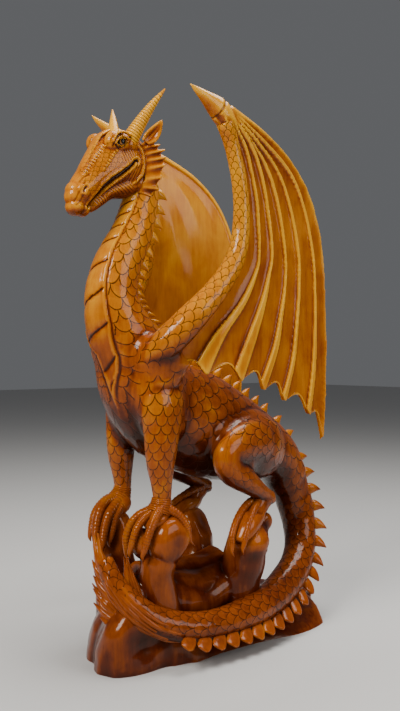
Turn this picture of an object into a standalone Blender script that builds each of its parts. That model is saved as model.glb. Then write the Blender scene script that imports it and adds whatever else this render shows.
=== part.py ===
"""Carved wooden dragon seated on a rock, one solid, dragon looking along -Y."""
import math

import bmesh
import bpy
from mathutils import Matrix, Vector
from mathutils.bvhtree import BVHTree

# Driving dimensions, metres
HEIGHT = 0.560            # claw tip of the raised wing above the table
WING_SPREAD = 0.166       # between the two wing claws, across the body
WING_SKIN = 0.0064        # thickness of a wing web
RIDGE_RADIUS = 0.0032     # finger ridges on a wing web
HORN_LENGTH = 0.064
SPINE_LENGTH = 0.016      # tooth spines on the tail
BASE_LENGTH = 0.314
BASE_WIDTH = 0.152
VOXEL = 0.0021            # grain of the fused solid
TRIANGLES = 9700          # faces kept in the fused solid

# The pose is written in 1/560 parts of the height: forward, to the left, up
UNIT = HEIGHT / 560.0
SPREAD = WING_SPREAD / HEIGHT / 0.2964


def clear_scene():
    for item in list(bpy.data.objects):
        bpy.data.objects.remove(item, do_unlink=True)


def place(forward, left, up):
    """Pose units to metres: forward is -Y, the dragon's left is +X."""
    return Vector((left * UNIT, -forward * UNIT, up * UNIT))


def spline(points, t):
    """Smooth value at t (0 to 1) through a list of equally spaced tuples."""
    n = len(points) - 1
    s = min(max(t, 0.0), 1.0) * n
    i = min(int(s), n - 1)
    w = s - i
    a = points[max(i - 1, 0)]
    b = points[i]
    c = points[i + 1]
    d = points[min(i + 2, n)]
    out = []
    for p, q, r, e in zip(a, b, c, d):
        m = (r - p) / 2
        k = (e - q) / 2
        h = w * w
        g = h * w
        out.append((2 * g - 3 * h + 1) * q + (g - 2 * h + w) * m
                   + (3 * h - 2 * g) * r + (g - h) * k)
    return out


def limb(bm, stations, rings, sides, first_side=(1, 0, 0)):
    """Sweep an oval along stations of (forward, left, up, deep, wide)."""
    side = Vector(first_side)
    loops = []
    for k in range(rings + 1):
        t = k / rings
        here = spline(stations, t)
        ahead = spline(stations, min(t + 0.01, 1))
        behind = spline(stations, max(t - 0.01, 0))
        along = (place(*ahead[:3]) - place(*behind[:3])).normalized()
        side = (side - along * side.dot(along)).normalized()
        up = along.cross(side)
        turn = Matrix((side, up, along)).transposed().to_4x4()
        size = Matrix.Diagonal((max(here[4], 0.3) * UNIT,
                                max(here[3], 0.3) * UNIT, 1, 1))
        where = Matrix.Translation(place(*here[:3])) @ turn @ size
        end = k in (0, rings)
        made = bmesh.ops.create_circle(bm, cap_ends=end, segments=sides,
                                       radius=1, matrix=where)
        ring = made["verts"]
        loops.append(ring)
    for low, high in zip(loops, loops[1:]):
        for j in range(sides):
            k = (j + 1) % sides
            bm.faces.new((low[j], low[k], high[k], high[j]))


def lump(bm, forward, left, up, long, wide, tall, turn=0.0):
    """An oval lump, turned about the forward-up plane by degrees."""
    where = (Matrix.Translation(place(forward, left, up))
             @ Matrix.Rotation(math.radians(turn), 4, "X")
             @ Matrix.Diagonal((wide * UNIT, long * UNIT, tall * UNIT, 1)))
    bmesh.ops.create_icosphere(bm, subdivisions=3, radius=1, matrix=where)


def spike(bm, root, tip, radius, flat=1.0, sides=8):
    """A pointed tooth from root to tip, both in pose units."""
    a = place(*root)
    b = place(*tip)
    way = b - a
    turn = way.to_track_quat("Z", "Y").to_matrix().to_4x4()
    where = (Matrix.Translation((a + b) / 2) @ turn
             @ Matrix.Diagonal((flat, 1, 1, 1)))
    bmesh.ops.create_cone(bm, cap_ends=True, segments=sides,
                          radius1=radius * UNIT, radius2=0.5 * UNIT,
                          depth=way.length, matrix=where)


# Spine of the animal from the nape to the tail's plume
NECK = [(74, 0, 474, 17, 13), (79, 0, 450, 19, 16), (89, 0, 420, 21, 19),
        (106, 0, 388, 24, 22), (113, 0, 358, 27, 25), (106, 0, 328, 32, 31),
        (88, 0, 296, 40, 40), (74, 0, 264, 45, 44), (46, 0, 242, 54, 45),
        (10, 0, 228, 56, 44), (-26, 0, 214, 52, 42), (-62, 0, 202, 44, 40),
        (-96, 0, 190, 34, 34), (-120, 1, 170, 28, 28), (-134, 4, 142, 23, 23)]
TAIL = [(-120, 1, 172, 27, 27), (-134, 4, 142, 23, 23), (-141, 9, 112, 20, 20),
        (-135, 19, 83, 18, 18), (-115, 31, 62, 18, 18), (-83, 43, 46, 19, 18),
        (-47, 54, 37, 18, 17), (-10, 62, 34, 17, 16), (30, 65, 33, 15, 15),
        (66, 63, 36, 15, 14), (100, 55, 47, 14, 13), (122, 43, 66, 12, 12),
        (132, 29, 85, 10, 11), (134, 18, 104, 8, 9)]


def body(bm):
    limb(bm, NECK, 44, 24)
    limb(bm, TAIL, 48, 16)
    # shoulders, elbows, haunches
    for s in (1, -1):
        lump(bm, 78, 30 * s, 268, 30, 20, 40, 10)
        lump(bm, 72, 37 * s, 228, 17, 13, 20)
        lump(bm, -42, 37 * s, 206, 48, 24, 39, -12)
        lump(bm, -4, 46 * s, 194, 19, 17, 22, 20)


def foreleg(bm, s, back):
    """One foreleg; back sets the far one a little behind the near one."""
    limb(bm, [(80 - back, 36 * s, 256, 24, 18), (84 - back, 41 * s, 224, 18, 14),
              (86 - back, 42 * s, 196, 14, 12), (84 - back, 42 * s, 176, 10, 9),
              (83 - back, 42 * s, 155, 8.5, 8.5), (85 - back, 42 * s, 142, 13, 14)], 16, 14)


def paw(bm, wrist, claws, toe, nail):
    """Toes arching from the wrist over the rock to each claw."""
    for over, tip in claws:
        limb(bm, [wrist + (toe * 1.2, toe * 1.2), over + (toe, toe),
                  tip + (toe * 0.75, toe * 0.75)], 7, 8)
        out = [t * 1.2 - o * 0.2 for o, t in zip(over, tip)]
        spike(bm, tip, (out[0], out[1], out[2] - 5), nail)


def legs(bm):
    foreleg(bm, 1, 0)
    foreleg(bm, -1, 12)
    lump(bm, 84, 42, 140, 17, 18, 9)
    lump(bm, 80, -40, 138, 19, 16, 10)
    near = (84, 42, 142)
    paw(bm, near, [((90, 28, 138), (97, 20, 114)), ((101, 38, 136), (108, 40, 108)),
                   ((88, 58, 137), (96, 64, 112)), ((64, 52, 136), (56, 58, 116))], 7, 5)
    far = (78, -41, 144)
    paw(bm, far, [((94, -26, 138), (108, -16, 114)), ((98, -36, 137), (112, -28, 108)),
                  ((92, -52, 136), (100, -56, 110)), ((66, -54, 134), (60, -60, 114))], 7, 5)
    for s in (1, -1):
        limb(bm, [(2, 51 * s, 188, 16, 12), (-20, 53 * s, 168, 13, 10),
                  (-40, 52 * s, 154, 9, 8), (-54, 51 * s, 147, 7, 7)], 12, 12)
        limb(bm, [(-54, 51 * s, 149, 8, 7.5), (-43, 52 * s, 136, 8, 7.5),
                  (-30, 53 * s, 124, 9, 10), (-22, 53 * s, 114, 9, 12)], 8, 12)
        paw(bm, (-32, 53 * s, 124),
            [((-18, 42 * s, 120), (-9, 38 * s, 102)), ((-14, 53 * s, 119), (-6, 54 * s, 99)),
             ((-20, 64 * s, 118), (-14, 70 * s, 99)), ((-44, 60 * s, 116), (-48, 65 * s, 100))], 6, 4.5)


def head(bm):
    limb(bm, [(66, 0, 478, 17, 12), (86, 0, 488, 26, 19), (108, 0, 489, 31, 23),
              (124, 0, 478, 25, 19), (138, 0, 465, 18, 14), (149, 0, 453, 15, 12.5),
              (157, 0, 443, 11, 10), (160, 0, 438, 5, 5)], 22, 20)
    # lower jaw, nose swelling, brows, cheeks
    limb(bm, [(82, 0, 466, 12, 14), (100, 0, 464, 11, 14), (120, 0, 450, 8, 11),
              (138, 0, 437, 6, 8), (149, 0, 429, 4, 6)], 12, 14)
    for s in (1, -1):
        lump(bm, 118, 17 * s, 508, 13, 8, 8, -35)
        lump(bm, 90, 15 * s, 474, 15, 7, 17)
        lump(bm, 151, 8.5 * s, 453, 7, 5, 8)
        spike(bm, (80, 19 * s, 506), (62, 27 * s, 536), 8, 0.6)
        limb(bm, [(92, 17 * s, 506, 5, 4), (76, 21 * s, 496, 12, 4), (68, 21 * s, 478, 13, 4),
                  (72, 18 * s, 458, 8, 4)], 10, 10)
    for f, z, r in ((157, 455, 9.5), (151, 462, 8)):
        lump(bm, f, 0, z, r, r, r)
    # horns: the near one sweeps back, the far one stands up more
    for s, tip in ((1, (70, 30, 563)), (-1, (88, 35, 553))):
        root = (100, 14, 508)
        reach = HORN_LENGTH / HEIGHT / 0.1143
        tip = [r + (t - r) * reach for r, t in zip(root, tip)]
        path = []
        for k, girth in enumerate((8.5, 7, 5.4, 3.4, 0.9)):
            w = k / 4
            bow = 3 * math.sin(math.pi * w)
            p = [r + (t - r) * w for r, t in zip(root, tip)]
            path.append((p[0] - bow, p[1] * s, p[2] - bow * 0.6, girth, girth))
        limb(bm, path, 10, 10)


ARM = [(90, 46, 304), (79, 62, 326), (46, 72, 355), (21, 76, 390), (13, 77, 417),
       (13, 78, 452), (19, 80, 485), (34, 82, 517), (47, 83, 531)]
FINGERS = [
    [(46, 83, 530), (33, 81, 517), (18, 80, 485), (11, 78, 452), (9, 77, 420), (22, 74, 384),
     (50, 67, 344), (70, 56, 314), (80, 44, 286)],
    [(39, 82, 530), (15, 80, 505), (3, 78, 478), (-5, 77, 449), (-10, 75, 403), (-6, 74, 379),
     (8, 73, 350), (31, 69, 318), (48, 63, 280)],
    [(37, 82, 532), (6, 79, 507), (-11, 77, 480), (-22, 75, 446), (-29, 74, 405), (-26, 73, 380),
     (-19, 73, 350), (-8, 72, 317), (8, 69, 273)],
    [(36, 82, 533), (1, 78, 509), (-23, 76, 482), (-39, 74, 448), (-50, 72, 404), (-51, 71, 371),
     (-46, 71, 338), (-39, 71, 304), (-22, 70, 263)],
    [(35, 82, 534), (-6, 78, 511), (-39, 74, 485), (-59, 72, 448), (-71, 71, 406), (-73, 70, 367),
     (-70, 70, 328), (-65, 70, 291), (-52, 70, 251)],
    [(34, 82, 535), (-16, 77, 513), (-57, 73, 487), (-81, 70, 453), (-95, 69, 408), (-100, 68, 364),
     (-101, 68, 322), (-99, 68, 280), (-92, 68, 235)],
    [(33, 82, 537), (-18, 77, 522), (-60, 72, 501), (-93, 69, 467), (-113, 67, 417), (-119, 66, 362),
     (-121, 66, 310), (-120, 66, 259), (-116, 67, 206)]]


def across(point, s):
    f, l, z = point
    return (f, l * SPREAD * s, z)


def wing(bm, s):
    """Web between the fingers, sagging a little and scalloped at the rim."""
    cross = 4
    down = 18
    rows = []
    for panel in range(len(FINGERS) - 1):
        for c in range(cross + (panel == len(FINGERS) - 2)):
            w = c / cross
            sag = math.sin(math.pi * w)
            row = []
            for k in range(down + 1):
                t = k / down * (1 - 0.055 * sag)
                a = spline(FINGERS[panel], t)
                b = spline(FINGERS[panel + 1], t)
                p = [x + (y - x) * w for x, y in zip(a, b)]
                p[1] -= 3.2 * sag * min(1, 2.2 * t)
                row.append(bm.verts.new(place(*across(p, s))))
            rows.append(row)
    web = []
    for a, b in zip(rows, rows[1:]):
        for k in range(down):
            ring = (a[k], a[k + 1], b[k + 1], b[k])
            web.append(bm.faces.new(ring if s > 0 else ring[::-1]))
    bm.normal_update()
    bmesh.ops.solidify(bm, geom=web, thickness=WING_SKIN)
    r = RIDGE_RADIUS / UNIT
    for number, finger in enumerate(FINGERS[1:], 1):
        last = number == len(FINGERS) - 1
        size = [r * (0.75 + 0.12 * k) for k in range(len(finger))]
        if last:
            size = [r * 1.35] * len(finger)
        size[-1] = r * 0.5
        rope = [across(p, s) + (q, q) for p, q in zip(finger, size)]
        limb(bm, rope, 20, 8)
    arm = [across(p, s) + (q, q) for p, q in
           zip(ARM, (14, 14, 12.5, 9.5, 7.5, 7, 7, 7.5, 9))]
    limb(bm, arm, 26, 14)
    # knuckle and claw at the peak, in line with the arm
    limb(bm, [across((36, 82, 532), s) + (11, 9), across((52, 82, 539), s) + (9, 7),
              across((68, 83, 547), s) + (5, 4), across((83, 83, 556), s) + (0.8, 0.8)], 10, 10)


def walk(stations, spacing, start, stop):
    """Stations and directions at an even spacing along part of a path."""
    steps = 400
    gone = 0.0
    last = None
    for k in range(steps + 1):
        t = start + (stop - start) * k / steps
        here = spline(stations, t)
        if last is not None:
            gone += math.dist(here[:3], last[:3])
        if last is None or gone >= spacing:
            ahead = spline(stations, min(t + 0.01, 1))
            behind = spline(stations, max(t - 0.01, 0))
            way = Vector([a - b for a, b in zip(ahead[:3], behind[:3])]).normalized()
            yield here, way
            gone = 0.0
        last = here


def spines(bm):
    """Teeth down the nape, along the back and outside the tail."""
    for here, way in walk(NECK, 15, 0.02, 0.36):
        f, l, z, d, w = here
        spike(bm, (f - d + 3, 0, z), (f - d - 7, 0, z - 6), 6, 0.6)
    reach = SPINE_LENGTH / HEIGHT * 560
    middle = Vector((-10, 0, 150))
    for path, start, stop in ((NECK, 0.66, 0.93), (TAIL, 0.02, 0.86)):
        for here, way in walk(path, 15, start, stop):
            p = Vector(here[:3])
            out = p - middle
            out = (out - way * out.dot(way)).normalized()
            if path is TAIL:
                low = min(1, max(0, (95 - here[2]) / 45))
                out = (out + Vector((0, 1.0, 0.1)) * low).normalized()
            root = p + out * (here[3] - 5)
            tip = p + out * (here[3] + reach * (1 - 0.3 * (here[3] < 17))) + way * 2
            spike(bm, tuple(root), tuple(tip), 7.5, 0.7)


def plume(bm):
    """Flowing tuft that ends the tail, rising under the far forepaw."""
    for k in range(5):
        a = -0.9 + 0.45 * k
        limb(bm, [(128, 36 - 5 * k, 60 + 3 * k, 8, 7),
                  (136, 24 + 10 * math.sin(a), 80, 8, 6),
                  (138, 12 + 12 * math.sin(a), 104, 7, 6),
                  (128, 2 + 12 * math.sin(a), 124, 3, 3)], 9, 8)


def rock(bm):
    half = BASE_LENGTH / UNIT / 2
    wide = BASE_WIDTH / UNIT / 2
    # slab swept across its length; the underside is cut flat afterwards
    limb(bm, [(-half + 2, 14, 6, 8, wide * 0.3), (-half + 12, 8, 4, 22, wide * 0.68),
              (-half * 0.6, 0, 2, 28, wide * 0.97), (-half * 0.2, -2, 2, 29, wide * 0.86),
              (half * 0.2, -2, 2, 32, wide * 0.84), (half * 0.46, 3, 4, 46, wide * 0.82),
              (half * 0.64, 15, 6, 60, wide * 0.64), (half * 0.76, 27, 6, 60, wide * 0.42),
              (half * 0.87, 34, 5, 48, wide * 0.26), (half - 12, 37, 4, 24, wide * 0.13)], 26, 28)
    lump(bm, 76, 40, 119, 20, 20, 20)
    limb(bm, [(80, 40, 112, 15, 15), (86, 36, 90, 17, 17), (84, 32, 66, 22, 22),
              (80, 26, 34, 30, 30)], 9, 14)
    limb(bm, [(86, -38, 132, 12, 12), (85, -38, 112, 19, 19), (84, -36, 88, 20, 21),
              (84, -32, 62, 22, 24), (82, -26, 32, 28, 30)], 10, 14)
    for s in (1, -1):
        limb(bm, [(-22, 50 * s, 112, 10, 12), (-26, 48 * s, 104, 19, 19),
                  (-28, 44 * s, 88, 20, 20), (-24, 36 * s, 66, 23, 23),
                  (-20, 26 * s, 34, 30, 28)], 10, 14)
    lump(bm, -52, 46, 88, 9, 9, 9)
    lump(bm, -50, 52, 119, 8, 8, 8)
    # saddle of rock between the columns
    limb(bm, [(76, 10, 40, 22, 36), (40, 8, 42, 20, 34), (4, 6, 40, 20, 34),
              (-30, 4, 46, 24, 36), (-70, 0, 30, 16, 30)], 14, 16)
    lump(bm, 30, 22, 52, 16, 14, 12)
    lump(bm, -4, 26, 54, 14, 13, 14)
    lump(bm, 104, 18, 62, 22, 26, 24)


def fused(bm, name, home):
    """Fuse the overlapping pieces to one closed skin and lighten it."""
    bmesh.ops.recalc_face_normals(bm, faces=bm.faces)
    mesh = bpy.data.meshes.new(name + "_raw")
    bm.to_mesh(mesh)
    bm.free()
    raw = bpy.data.objects.new(name + "_raw", mesh)
    home.objects.link(raw)
    skin = raw.modifiers.new("skin", "REMESH")
    skin.mode = "VOXEL"
    skin.voxel_size = VOXEL
    soft = raw.modifiers.new("soft", "SMOOTH")
    soft.factor = 0.4
    soft.iterations = 1
    graph = bpy.context.evaluated_depsgraph_get()
    dense = raw.evaluated_get(graph).data
    count = len(dense.polygons) * 2
    light = raw.modifiers.new("light", "DECIMATE")
    light.ratio = min(1.0, TRIANGLES / count)
    graph = bpy.context.evaluated_depsgraph_get()
    final = bpy.data.meshes.new_from_object(raw.evaluated_get(graph))
    bpy.data.objects.remove(raw, do_unlink=True)
    return final


def crossing(bm):
    """Faces that cut a face they share no corner with."""
    bmesh.ops.triangulate(bm, faces=[f for f in bm.faces if len(f.verts) > 3
                                     and f.normal.z > -0.999])
    bm.faces.ensure_lookup_table()
    tree = BVHTree.FromBMesh(bm)
    hit = set()
    for a, b in tree.overlap(tree):
        if a < b:
            one = bm.faces[a]
            two = bm.faces[b]
            if not set(one.verts) & set(two.verts):
                hit.add(one)
                hit.add(two)
    return [f for f in hit if len(f.verts) == 3]


def mend(bm):
    """Open the skin where it pinches or crosses itself, and close it again."""
    for attempt in range(6):
        pinched = [v for v in bm.verts if not v.is_manifold]
        crossed = crossing(bm)
        if not pinched and not crossed:
            break
        bad = set(crossed)
        for v in pinched:
            bad.update(v.link_faces)
        bad = [f for f in bad if len(f.verts) < 5]
        bmesh.ops.delete(bm, geom=bad, context="FACES")
        bmesh.ops.delete(bm, geom=[v for v in bm.verts if not v.link_faces],
                         context="VERTS")
        rim = [e for e in bm.edges if e.is_boundary]
        bmesh.ops.holes_fill(bm, edges=rim, sides=0)


def settle(mesh):
    """Cut the underside flat, drop crumbs, set the origin under the middle."""
    bm = bmesh.new()
    bm.from_mesh(mesh)
    bmesh.ops.bisect_plane(bm, geom=bm.verts[:] + bm.edges[:] + bm.faces[:],
                           plane_co=(0, 0, 0), plane_no=(0, 0, 1),
                           clear_inner=True)
    rim = [e for e in bm.edges if e.is_boundary]
    bmesh.ops.holes_fill(bm, edges=rim, sides=0)
    bmesh.ops.dissolve_degenerate(bm, dist=0.0001, edges=bm.edges)
    mend(bm)
    bmesh.ops.triangulate(bm, faces=[f for f in bm.faces if len(f.verts) > 3
                                     and f.normal.z > -0.999])
    bmesh.ops.recalc_face_normals(bm, faces=bm.faces)
    left = bm.verts[:]
    seen = set()
    groups = []
    for v in left:
        if v in seen:
            continue
        group = []
        todo = [v]
        seen.add(v)
        while todo:
            w = todo.pop()
            group.append(w)
            for e in w.link_edges:
                o = e.other_vert(w)
                if o not in seen:
                    seen.add(o)
                    todo.append(o)
        groups.append(group)
    groups.sort(key=len)
    for group in groups[:-1]:
        bmesh.ops.delete(bm, geom=group, context="VERTS")
    low = Vector([min(v.co[i] for v in bm.verts) for i in range(3)])
    high = Vector([max(v.co[i] for v in bm.verts) for i in range(3)])
    middle = (low + high) / 2
    bmesh.ops.translate(bm, verts=bm.verts, vec=(-middle.x, -middle.y, -low.z))
    bm.to_mesh(mesh)
    bm.free()


def material(name, colour, rough):
    mat = bpy.data.materials.new(name)
    mat.use_nodes = True
    shader = mat.node_tree.nodes["Principled BSDF"]
    shader.inputs["Base Color"].default_value = colour
    shader.inputs["Roughness"].default_value = rough
    return mat


def build():
    clear_scene()
    home = bpy.data.collections.new("Wooden_Dragon_Carving")
    bpy.context.scene.collection.children.link(home)
    bm = bmesh.new()
    body(bm)
    legs(bm)
    head(bm)
    wing(bm, 1)
    wing(bm, -1)
    spines(bm)
    plume(bm)
    rock(bm)
    mesh = fused(bm, "dragon_carving", home)
    settle(mesh)
    mesh.name = "dragon_carving"
    carving = bpy.data.objects.new("dragon_carving", mesh)
    home.objects.link(carving)
    mesh.materials.clear()
    mesh.materials.append(material("lacquered_wood", (0.42, 0.16, 0.035, 1), 0.3))


build()
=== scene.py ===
# A carved and lacquered wooden dragon on its rock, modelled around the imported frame
import math

import bmesh
import bpy
import numpy as np
from mathutils import Matrix, Vector, noise


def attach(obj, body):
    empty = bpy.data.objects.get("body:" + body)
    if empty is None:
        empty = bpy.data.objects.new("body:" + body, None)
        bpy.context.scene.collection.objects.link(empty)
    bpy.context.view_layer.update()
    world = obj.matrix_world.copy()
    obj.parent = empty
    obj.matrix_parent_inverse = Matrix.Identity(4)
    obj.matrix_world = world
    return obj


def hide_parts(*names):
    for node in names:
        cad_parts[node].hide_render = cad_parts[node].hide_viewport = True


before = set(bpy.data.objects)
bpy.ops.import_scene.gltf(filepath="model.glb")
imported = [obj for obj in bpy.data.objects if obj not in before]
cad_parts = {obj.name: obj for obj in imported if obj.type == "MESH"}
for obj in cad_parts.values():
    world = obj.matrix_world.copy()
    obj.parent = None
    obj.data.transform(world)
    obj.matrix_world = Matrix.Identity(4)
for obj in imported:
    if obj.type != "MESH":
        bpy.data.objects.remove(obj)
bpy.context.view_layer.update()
print("frame loaded")

# the carving is set out in millimetres: forward, to its left, up
layout = {"unit": 0.001, "shift": (0.00004, -0.00511, 0.0), "thinnest": 0.3,
          "node": "dragon_carving", "slot": "lacquered_wood"}


def put(forward, left, up):
    unit = layout["unit"]
    return Vector((left * unit, -forward * unit, up * unit)) + Vector(layout["shift"])


def sided(point, s):
    return (point[0], point[1] * s, *point[2:])


def mirrored(stations, s):
    return [sided(point, s) for point in stations]


# a smooth curve through the stations, at share t of their count
def smoothAt(points, t):
    last = len(points) - 1
    s = min(max(t, 0.0), 1.0) * last
    i = min(int(s), last - 1)
    w = s - i
    near = (points[max(i - 1, 0)], points[i], points[i + 1], points[min(i + 2, last)])
    w2 = w * w
    w3 = w2 * w
    return [(2 * w3 - 3 * w2 + 1) * q + (w3 - 2 * w2 + w) * (r - p) / 2
            + (3 * w2 - 2 * w3) * r + (w3 - w2) * (e - q) / 2
            for p, q, r, e in zip(*near)]


# place and turn of every section along a limb, whose stations say (forward, left, up, deep,
# wide), or one radius in place of the last two
def sectionsOf(stations, count, firstSide=(1, 0, 0)):
    side = Vector(firstSide)
    found = []
    for k in range(count + 1):
        t = k / count
        here = smoothAt(stations, t)
        ahead = smoothAt(stations, min(t + 0.01, 1))
        behind = smoothAt(stations, max(t - 0.01, 0))
        way = (put(*ahead[:3]) - put(*behind[:3])).normalized()
        side = (side - way * side.dot(way)).normalized()
        found.append((put(*here[:3]), side.copy(), way.cross(side), way,
                      max(here[3], layout["thinnest"]) * layout["unit"],
                      max(here[-1], layout["thinnest"]) * layout["unit"]))
    return found


def meshOf(bm, name):
    mesh = bpy.data.meshes.new(name)
    bm.to_mesh(mesh)
    bm.free()
    return mesh


def show(name, data):
    thing = bpy.data.objects.new(name, data)
    bpy.context.scene.collection.objects.link(thing)
    return thing


# girth(t) swells or thins the limb, tone(t) paints shade into its grooves where the piece keeps a
# float layer for it
def limb(bm, stations, rings, sides, firstSide=(1, 0, 0), girth=None, tone=None):
    last = None
    part = bmesh.new()
    cutShadeLayer = part.verts.layers.float.new("cutShade") if bm.verts.layers.float.get("cutShade") else None
    for k, section in enumerate(sectionsOf(stations, rings, firstSide)):
        place, side, up, way, deep, wide = section
        swell = girth(k / rings) if girth else 1.0
        frameHere = (Matrix.Translation(place) @ Matrix((side, up, way)).transposed().to_4x4()
                     @ Matrix.Diagonal((wide * swell, deep * swell, 1, 1)))
        if last is None:
            ring = bmesh.ops.create_circle(part, cap_ends=True, segments=sides, radius=1,
                                           matrix=frameHere)["verts"]
            edges = part.edges[:]
        else:
            moved = bmesh.ops.extrude_edge_only(part, edges=edges)["geom"]
            edges = [g for g in moved if isinstance(g, bmesh.types.BMEdge)]
            ring = [g for g in moved if isinstance(g, bmesh.types.BMVert)]
            shift = frameHere @ last.inverted()
            for vert in ring:
                vert.co = shift @ vert.co
        last = frameHere
        if cutShadeLayer and tone:
            for vert in ring:
                vert[cutShadeLayer] = tone(k / rings)
    bmesh.ops.holes_fill(part, edges=edges, sides=0)
    mesh = meshOf(part, "limb")
    bm.from_mesh(mesh)
    bpy.data.meshes.remove(mesh)


def lump(bm, forward, left, up, long, wide, tall, tilt=0.0, detail=4):
    unit = layout["unit"]
    where = (Matrix.Translation(put(forward, left, up))
             @ Matrix.Rotation(math.radians(tilt), 4, "X")
             @ Matrix.Diagonal((wide * unit, long * unit, tall * unit, 1)))
    bmesh.ops.create_icosphere(bm, subdivisions=detail, radius=1, matrix=where)


# overlapping forms become one closed skin
def fuse(bm, name, grain, soften):
    bmesh.ops.recalc_face_normals(bm, faces=bm.faces)
    block = show(name + "Rough", meshOf(bm, name + "Rough"))
    skin = block.modifiers.new("skin", "REMESH")
    skin.mode = "VOXEL"
    skin.voxel_size = grain
    rounding = block.modifiers.new("rounding", "SMOOTH")
    rounding.factor = 0.5
    rounding.iterations = soften
    graph = bpy.context.evaluated_depsgraph_get()
    mesh = bpy.data.meshes.new_from_object(block.evaluated_get(graph))
    bpy.data.objects.remove(block, do_unlink=True)
    mesh.name = name
    mesh.shade_smooth()
    print(name, len(mesh.polygons) * 2, "triangles")
    return show(name, mesh)


def readVectors(mesh, kind):
    values = np.empty(len(mesh.vertices) * 3)
    mesh.vertices.foreach_get(kind, values)
    return values.reshape(-1, 3)


def readPairs(mesh):
    pairs = np.empty(len(mesh.edges) * 2, dtype=np.int32)
    mesh.edges.foreach_get("vertices", pairs)
    return pairs[0::2], pairs[1::2]


def writePoints(mesh, points):
    mesh.vertices.foreach_set("co", points.ravel())
    mesh.update()


# mean of each corner's neighbours
def neighbourMean(mesh, values, rounds):
    a, b = readPairs(mesh)
    count = np.bincount(np.concatenate([a, b]), minlength=len(values)).astype(float)
    count[count == 0] = 1
    out = values.astype(float)
    for _ in range(rounds):
        if out.ndim == 1:
            total = (np.bincount(a, weights=out[b], minlength=len(out))
                     + np.bincount(b, weights=out[a], minlength=len(out)))
            out = 0.5 * out + 0.5 * total / count
        else:
            out = np.stack([neighbourMean(mesh, column, 1) for column in out.T], axis=1)
    return out


# how deep each point lies under the forms around it, 0 on a crest to 1 in a hollow
def hollows(mesh, rounds, depth):
    points = readVectors(mesh, "co")
    mean = neighbourMean(mesh, points, rounds)
    sunk = ((mean - points) * readVectors(mesh, "normal")).sum(axis=1)
    return np.clip(0.5 + 0.5 * sunk / depth, 0, 1)


def keepField(mesh, name, values):
    field = mesh.attributes.new(name, "FLOAT", "POINT")
    field.data.foreach_set("value", values.astype(np.float32))


# a pattern map: each face takes the places that its first corner's region gives
def keepPattern(mesh, name, u, v, region):
    corners = np.empty(len(mesh.loops), dtype=np.int32)
    mesh.loops.foreach_get("vertex_index", corners)
    size = np.empty(len(mesh.polygons), dtype=np.int32)
    mesh.polygons.foreach_get("loop_total", size)
    first = np.repeat(np.cumsum(size) - size, size)
    lead = corners[first]
    cu, cv = u[region[lead], corners], v[region[lead], corners]
    layer = mesh.uv_layers.new(name=name)
    layer.data.foreach_set("uv", np.stack([cu, cv], axis=1).astype(np.float32).ravel())


def keepFlatPattern(mesh, name, u, v):
    keepPattern(mesh, name, u[None, :], v[None, :], np.zeros(len(u), dtype=int))


# one guide line through a limb, sampled finely, to carve patterns along
def guideOf(stations, count):
    columns = list(zip(*sectionsOf(stations, count)))
    guide = {name: np.array(columns[k])
             for name, k in (("place", 0), ("side", 1), ("up", 2), ("deep", 4), ("wide", 5))}
    gaps = np.linalg.norm(np.diff(guide["place"], axis=0), axis=1)
    guide["run"] = np.concatenate([[0], np.cumsum(gaps)])
    return guide


# distance in radii, run along the guide, angle from its upper side, radius there
def followGuide(points, guide):
    nearest = np.empty(len(points), dtype=int)
    chunk = 20000
    for start in range(0, len(points), chunk):
        part = points[start:start + chunk]
        gap = ((part[:, None, :] - guide["place"][None, :, :]) ** 2).sum(axis=2)
        nearest[start:start + chunk] = gap.argmin(axis=1)
    last = len(guide["place"]) - 1
    low = np.clip(nearest - 1, 0, last)
    high = np.clip(nearest + 1, 0, last)
    chord = guide["place"][high] - guide["place"][low]
    length = np.linalg.norm(chord, axis=1)
    way = chord / length[:, None]
    offset = points - guide["place"][nearest]
    slip = (offset * way).sum(axis=1)
    run = guide["run"][nearest] + slip
    across = (offset * guide["side"][nearest]).sum(axis=1)
    above = (offset * guide["up"][nearest]).sum(axis=1)
    radius = (guide["deep"][nearest] + guide["wide"][nearest]) / 2
    reach = np.hypot(across / guide["wide"][nearest], above / guide["deep"][nearest])
    beyond = np.abs(slip) > length
    reach = reach + np.where(beyond, (np.abs(slip) - length) / radius, 0)
    return reach, run, np.arctan2(across, above), radius


def ease(value, low, high):
    t = np.clip((value - low) / (high - low), 0, 1)
    return t * t * (3 - 2 * t)


def bell(value, width):
    return np.exp(-(value / width) ** 2)


# overlapping rounded scales: height of the carved surface at pattern place u, v
def scaleHeight(u, v):
    row = np.floor(v)
    fv = v - row
    du = (u + 0.5 * np.mod(row, 2)) % 1.0 - 0.5
    rho = np.sqrt((du / 0.5) ** 2 + fv ** 2)
    under = (u + 0.5 * np.mod(row + 1, 2)) % 1.0 - 0.5
    rhoUnder = np.sqrt((under / 0.5) ** 2 + (fv - 1) ** 2)
    return np.where(rho < 1, 0.35 + 0.65 * rho ** 2, 0.35 * rhoUnder ** 2)


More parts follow.
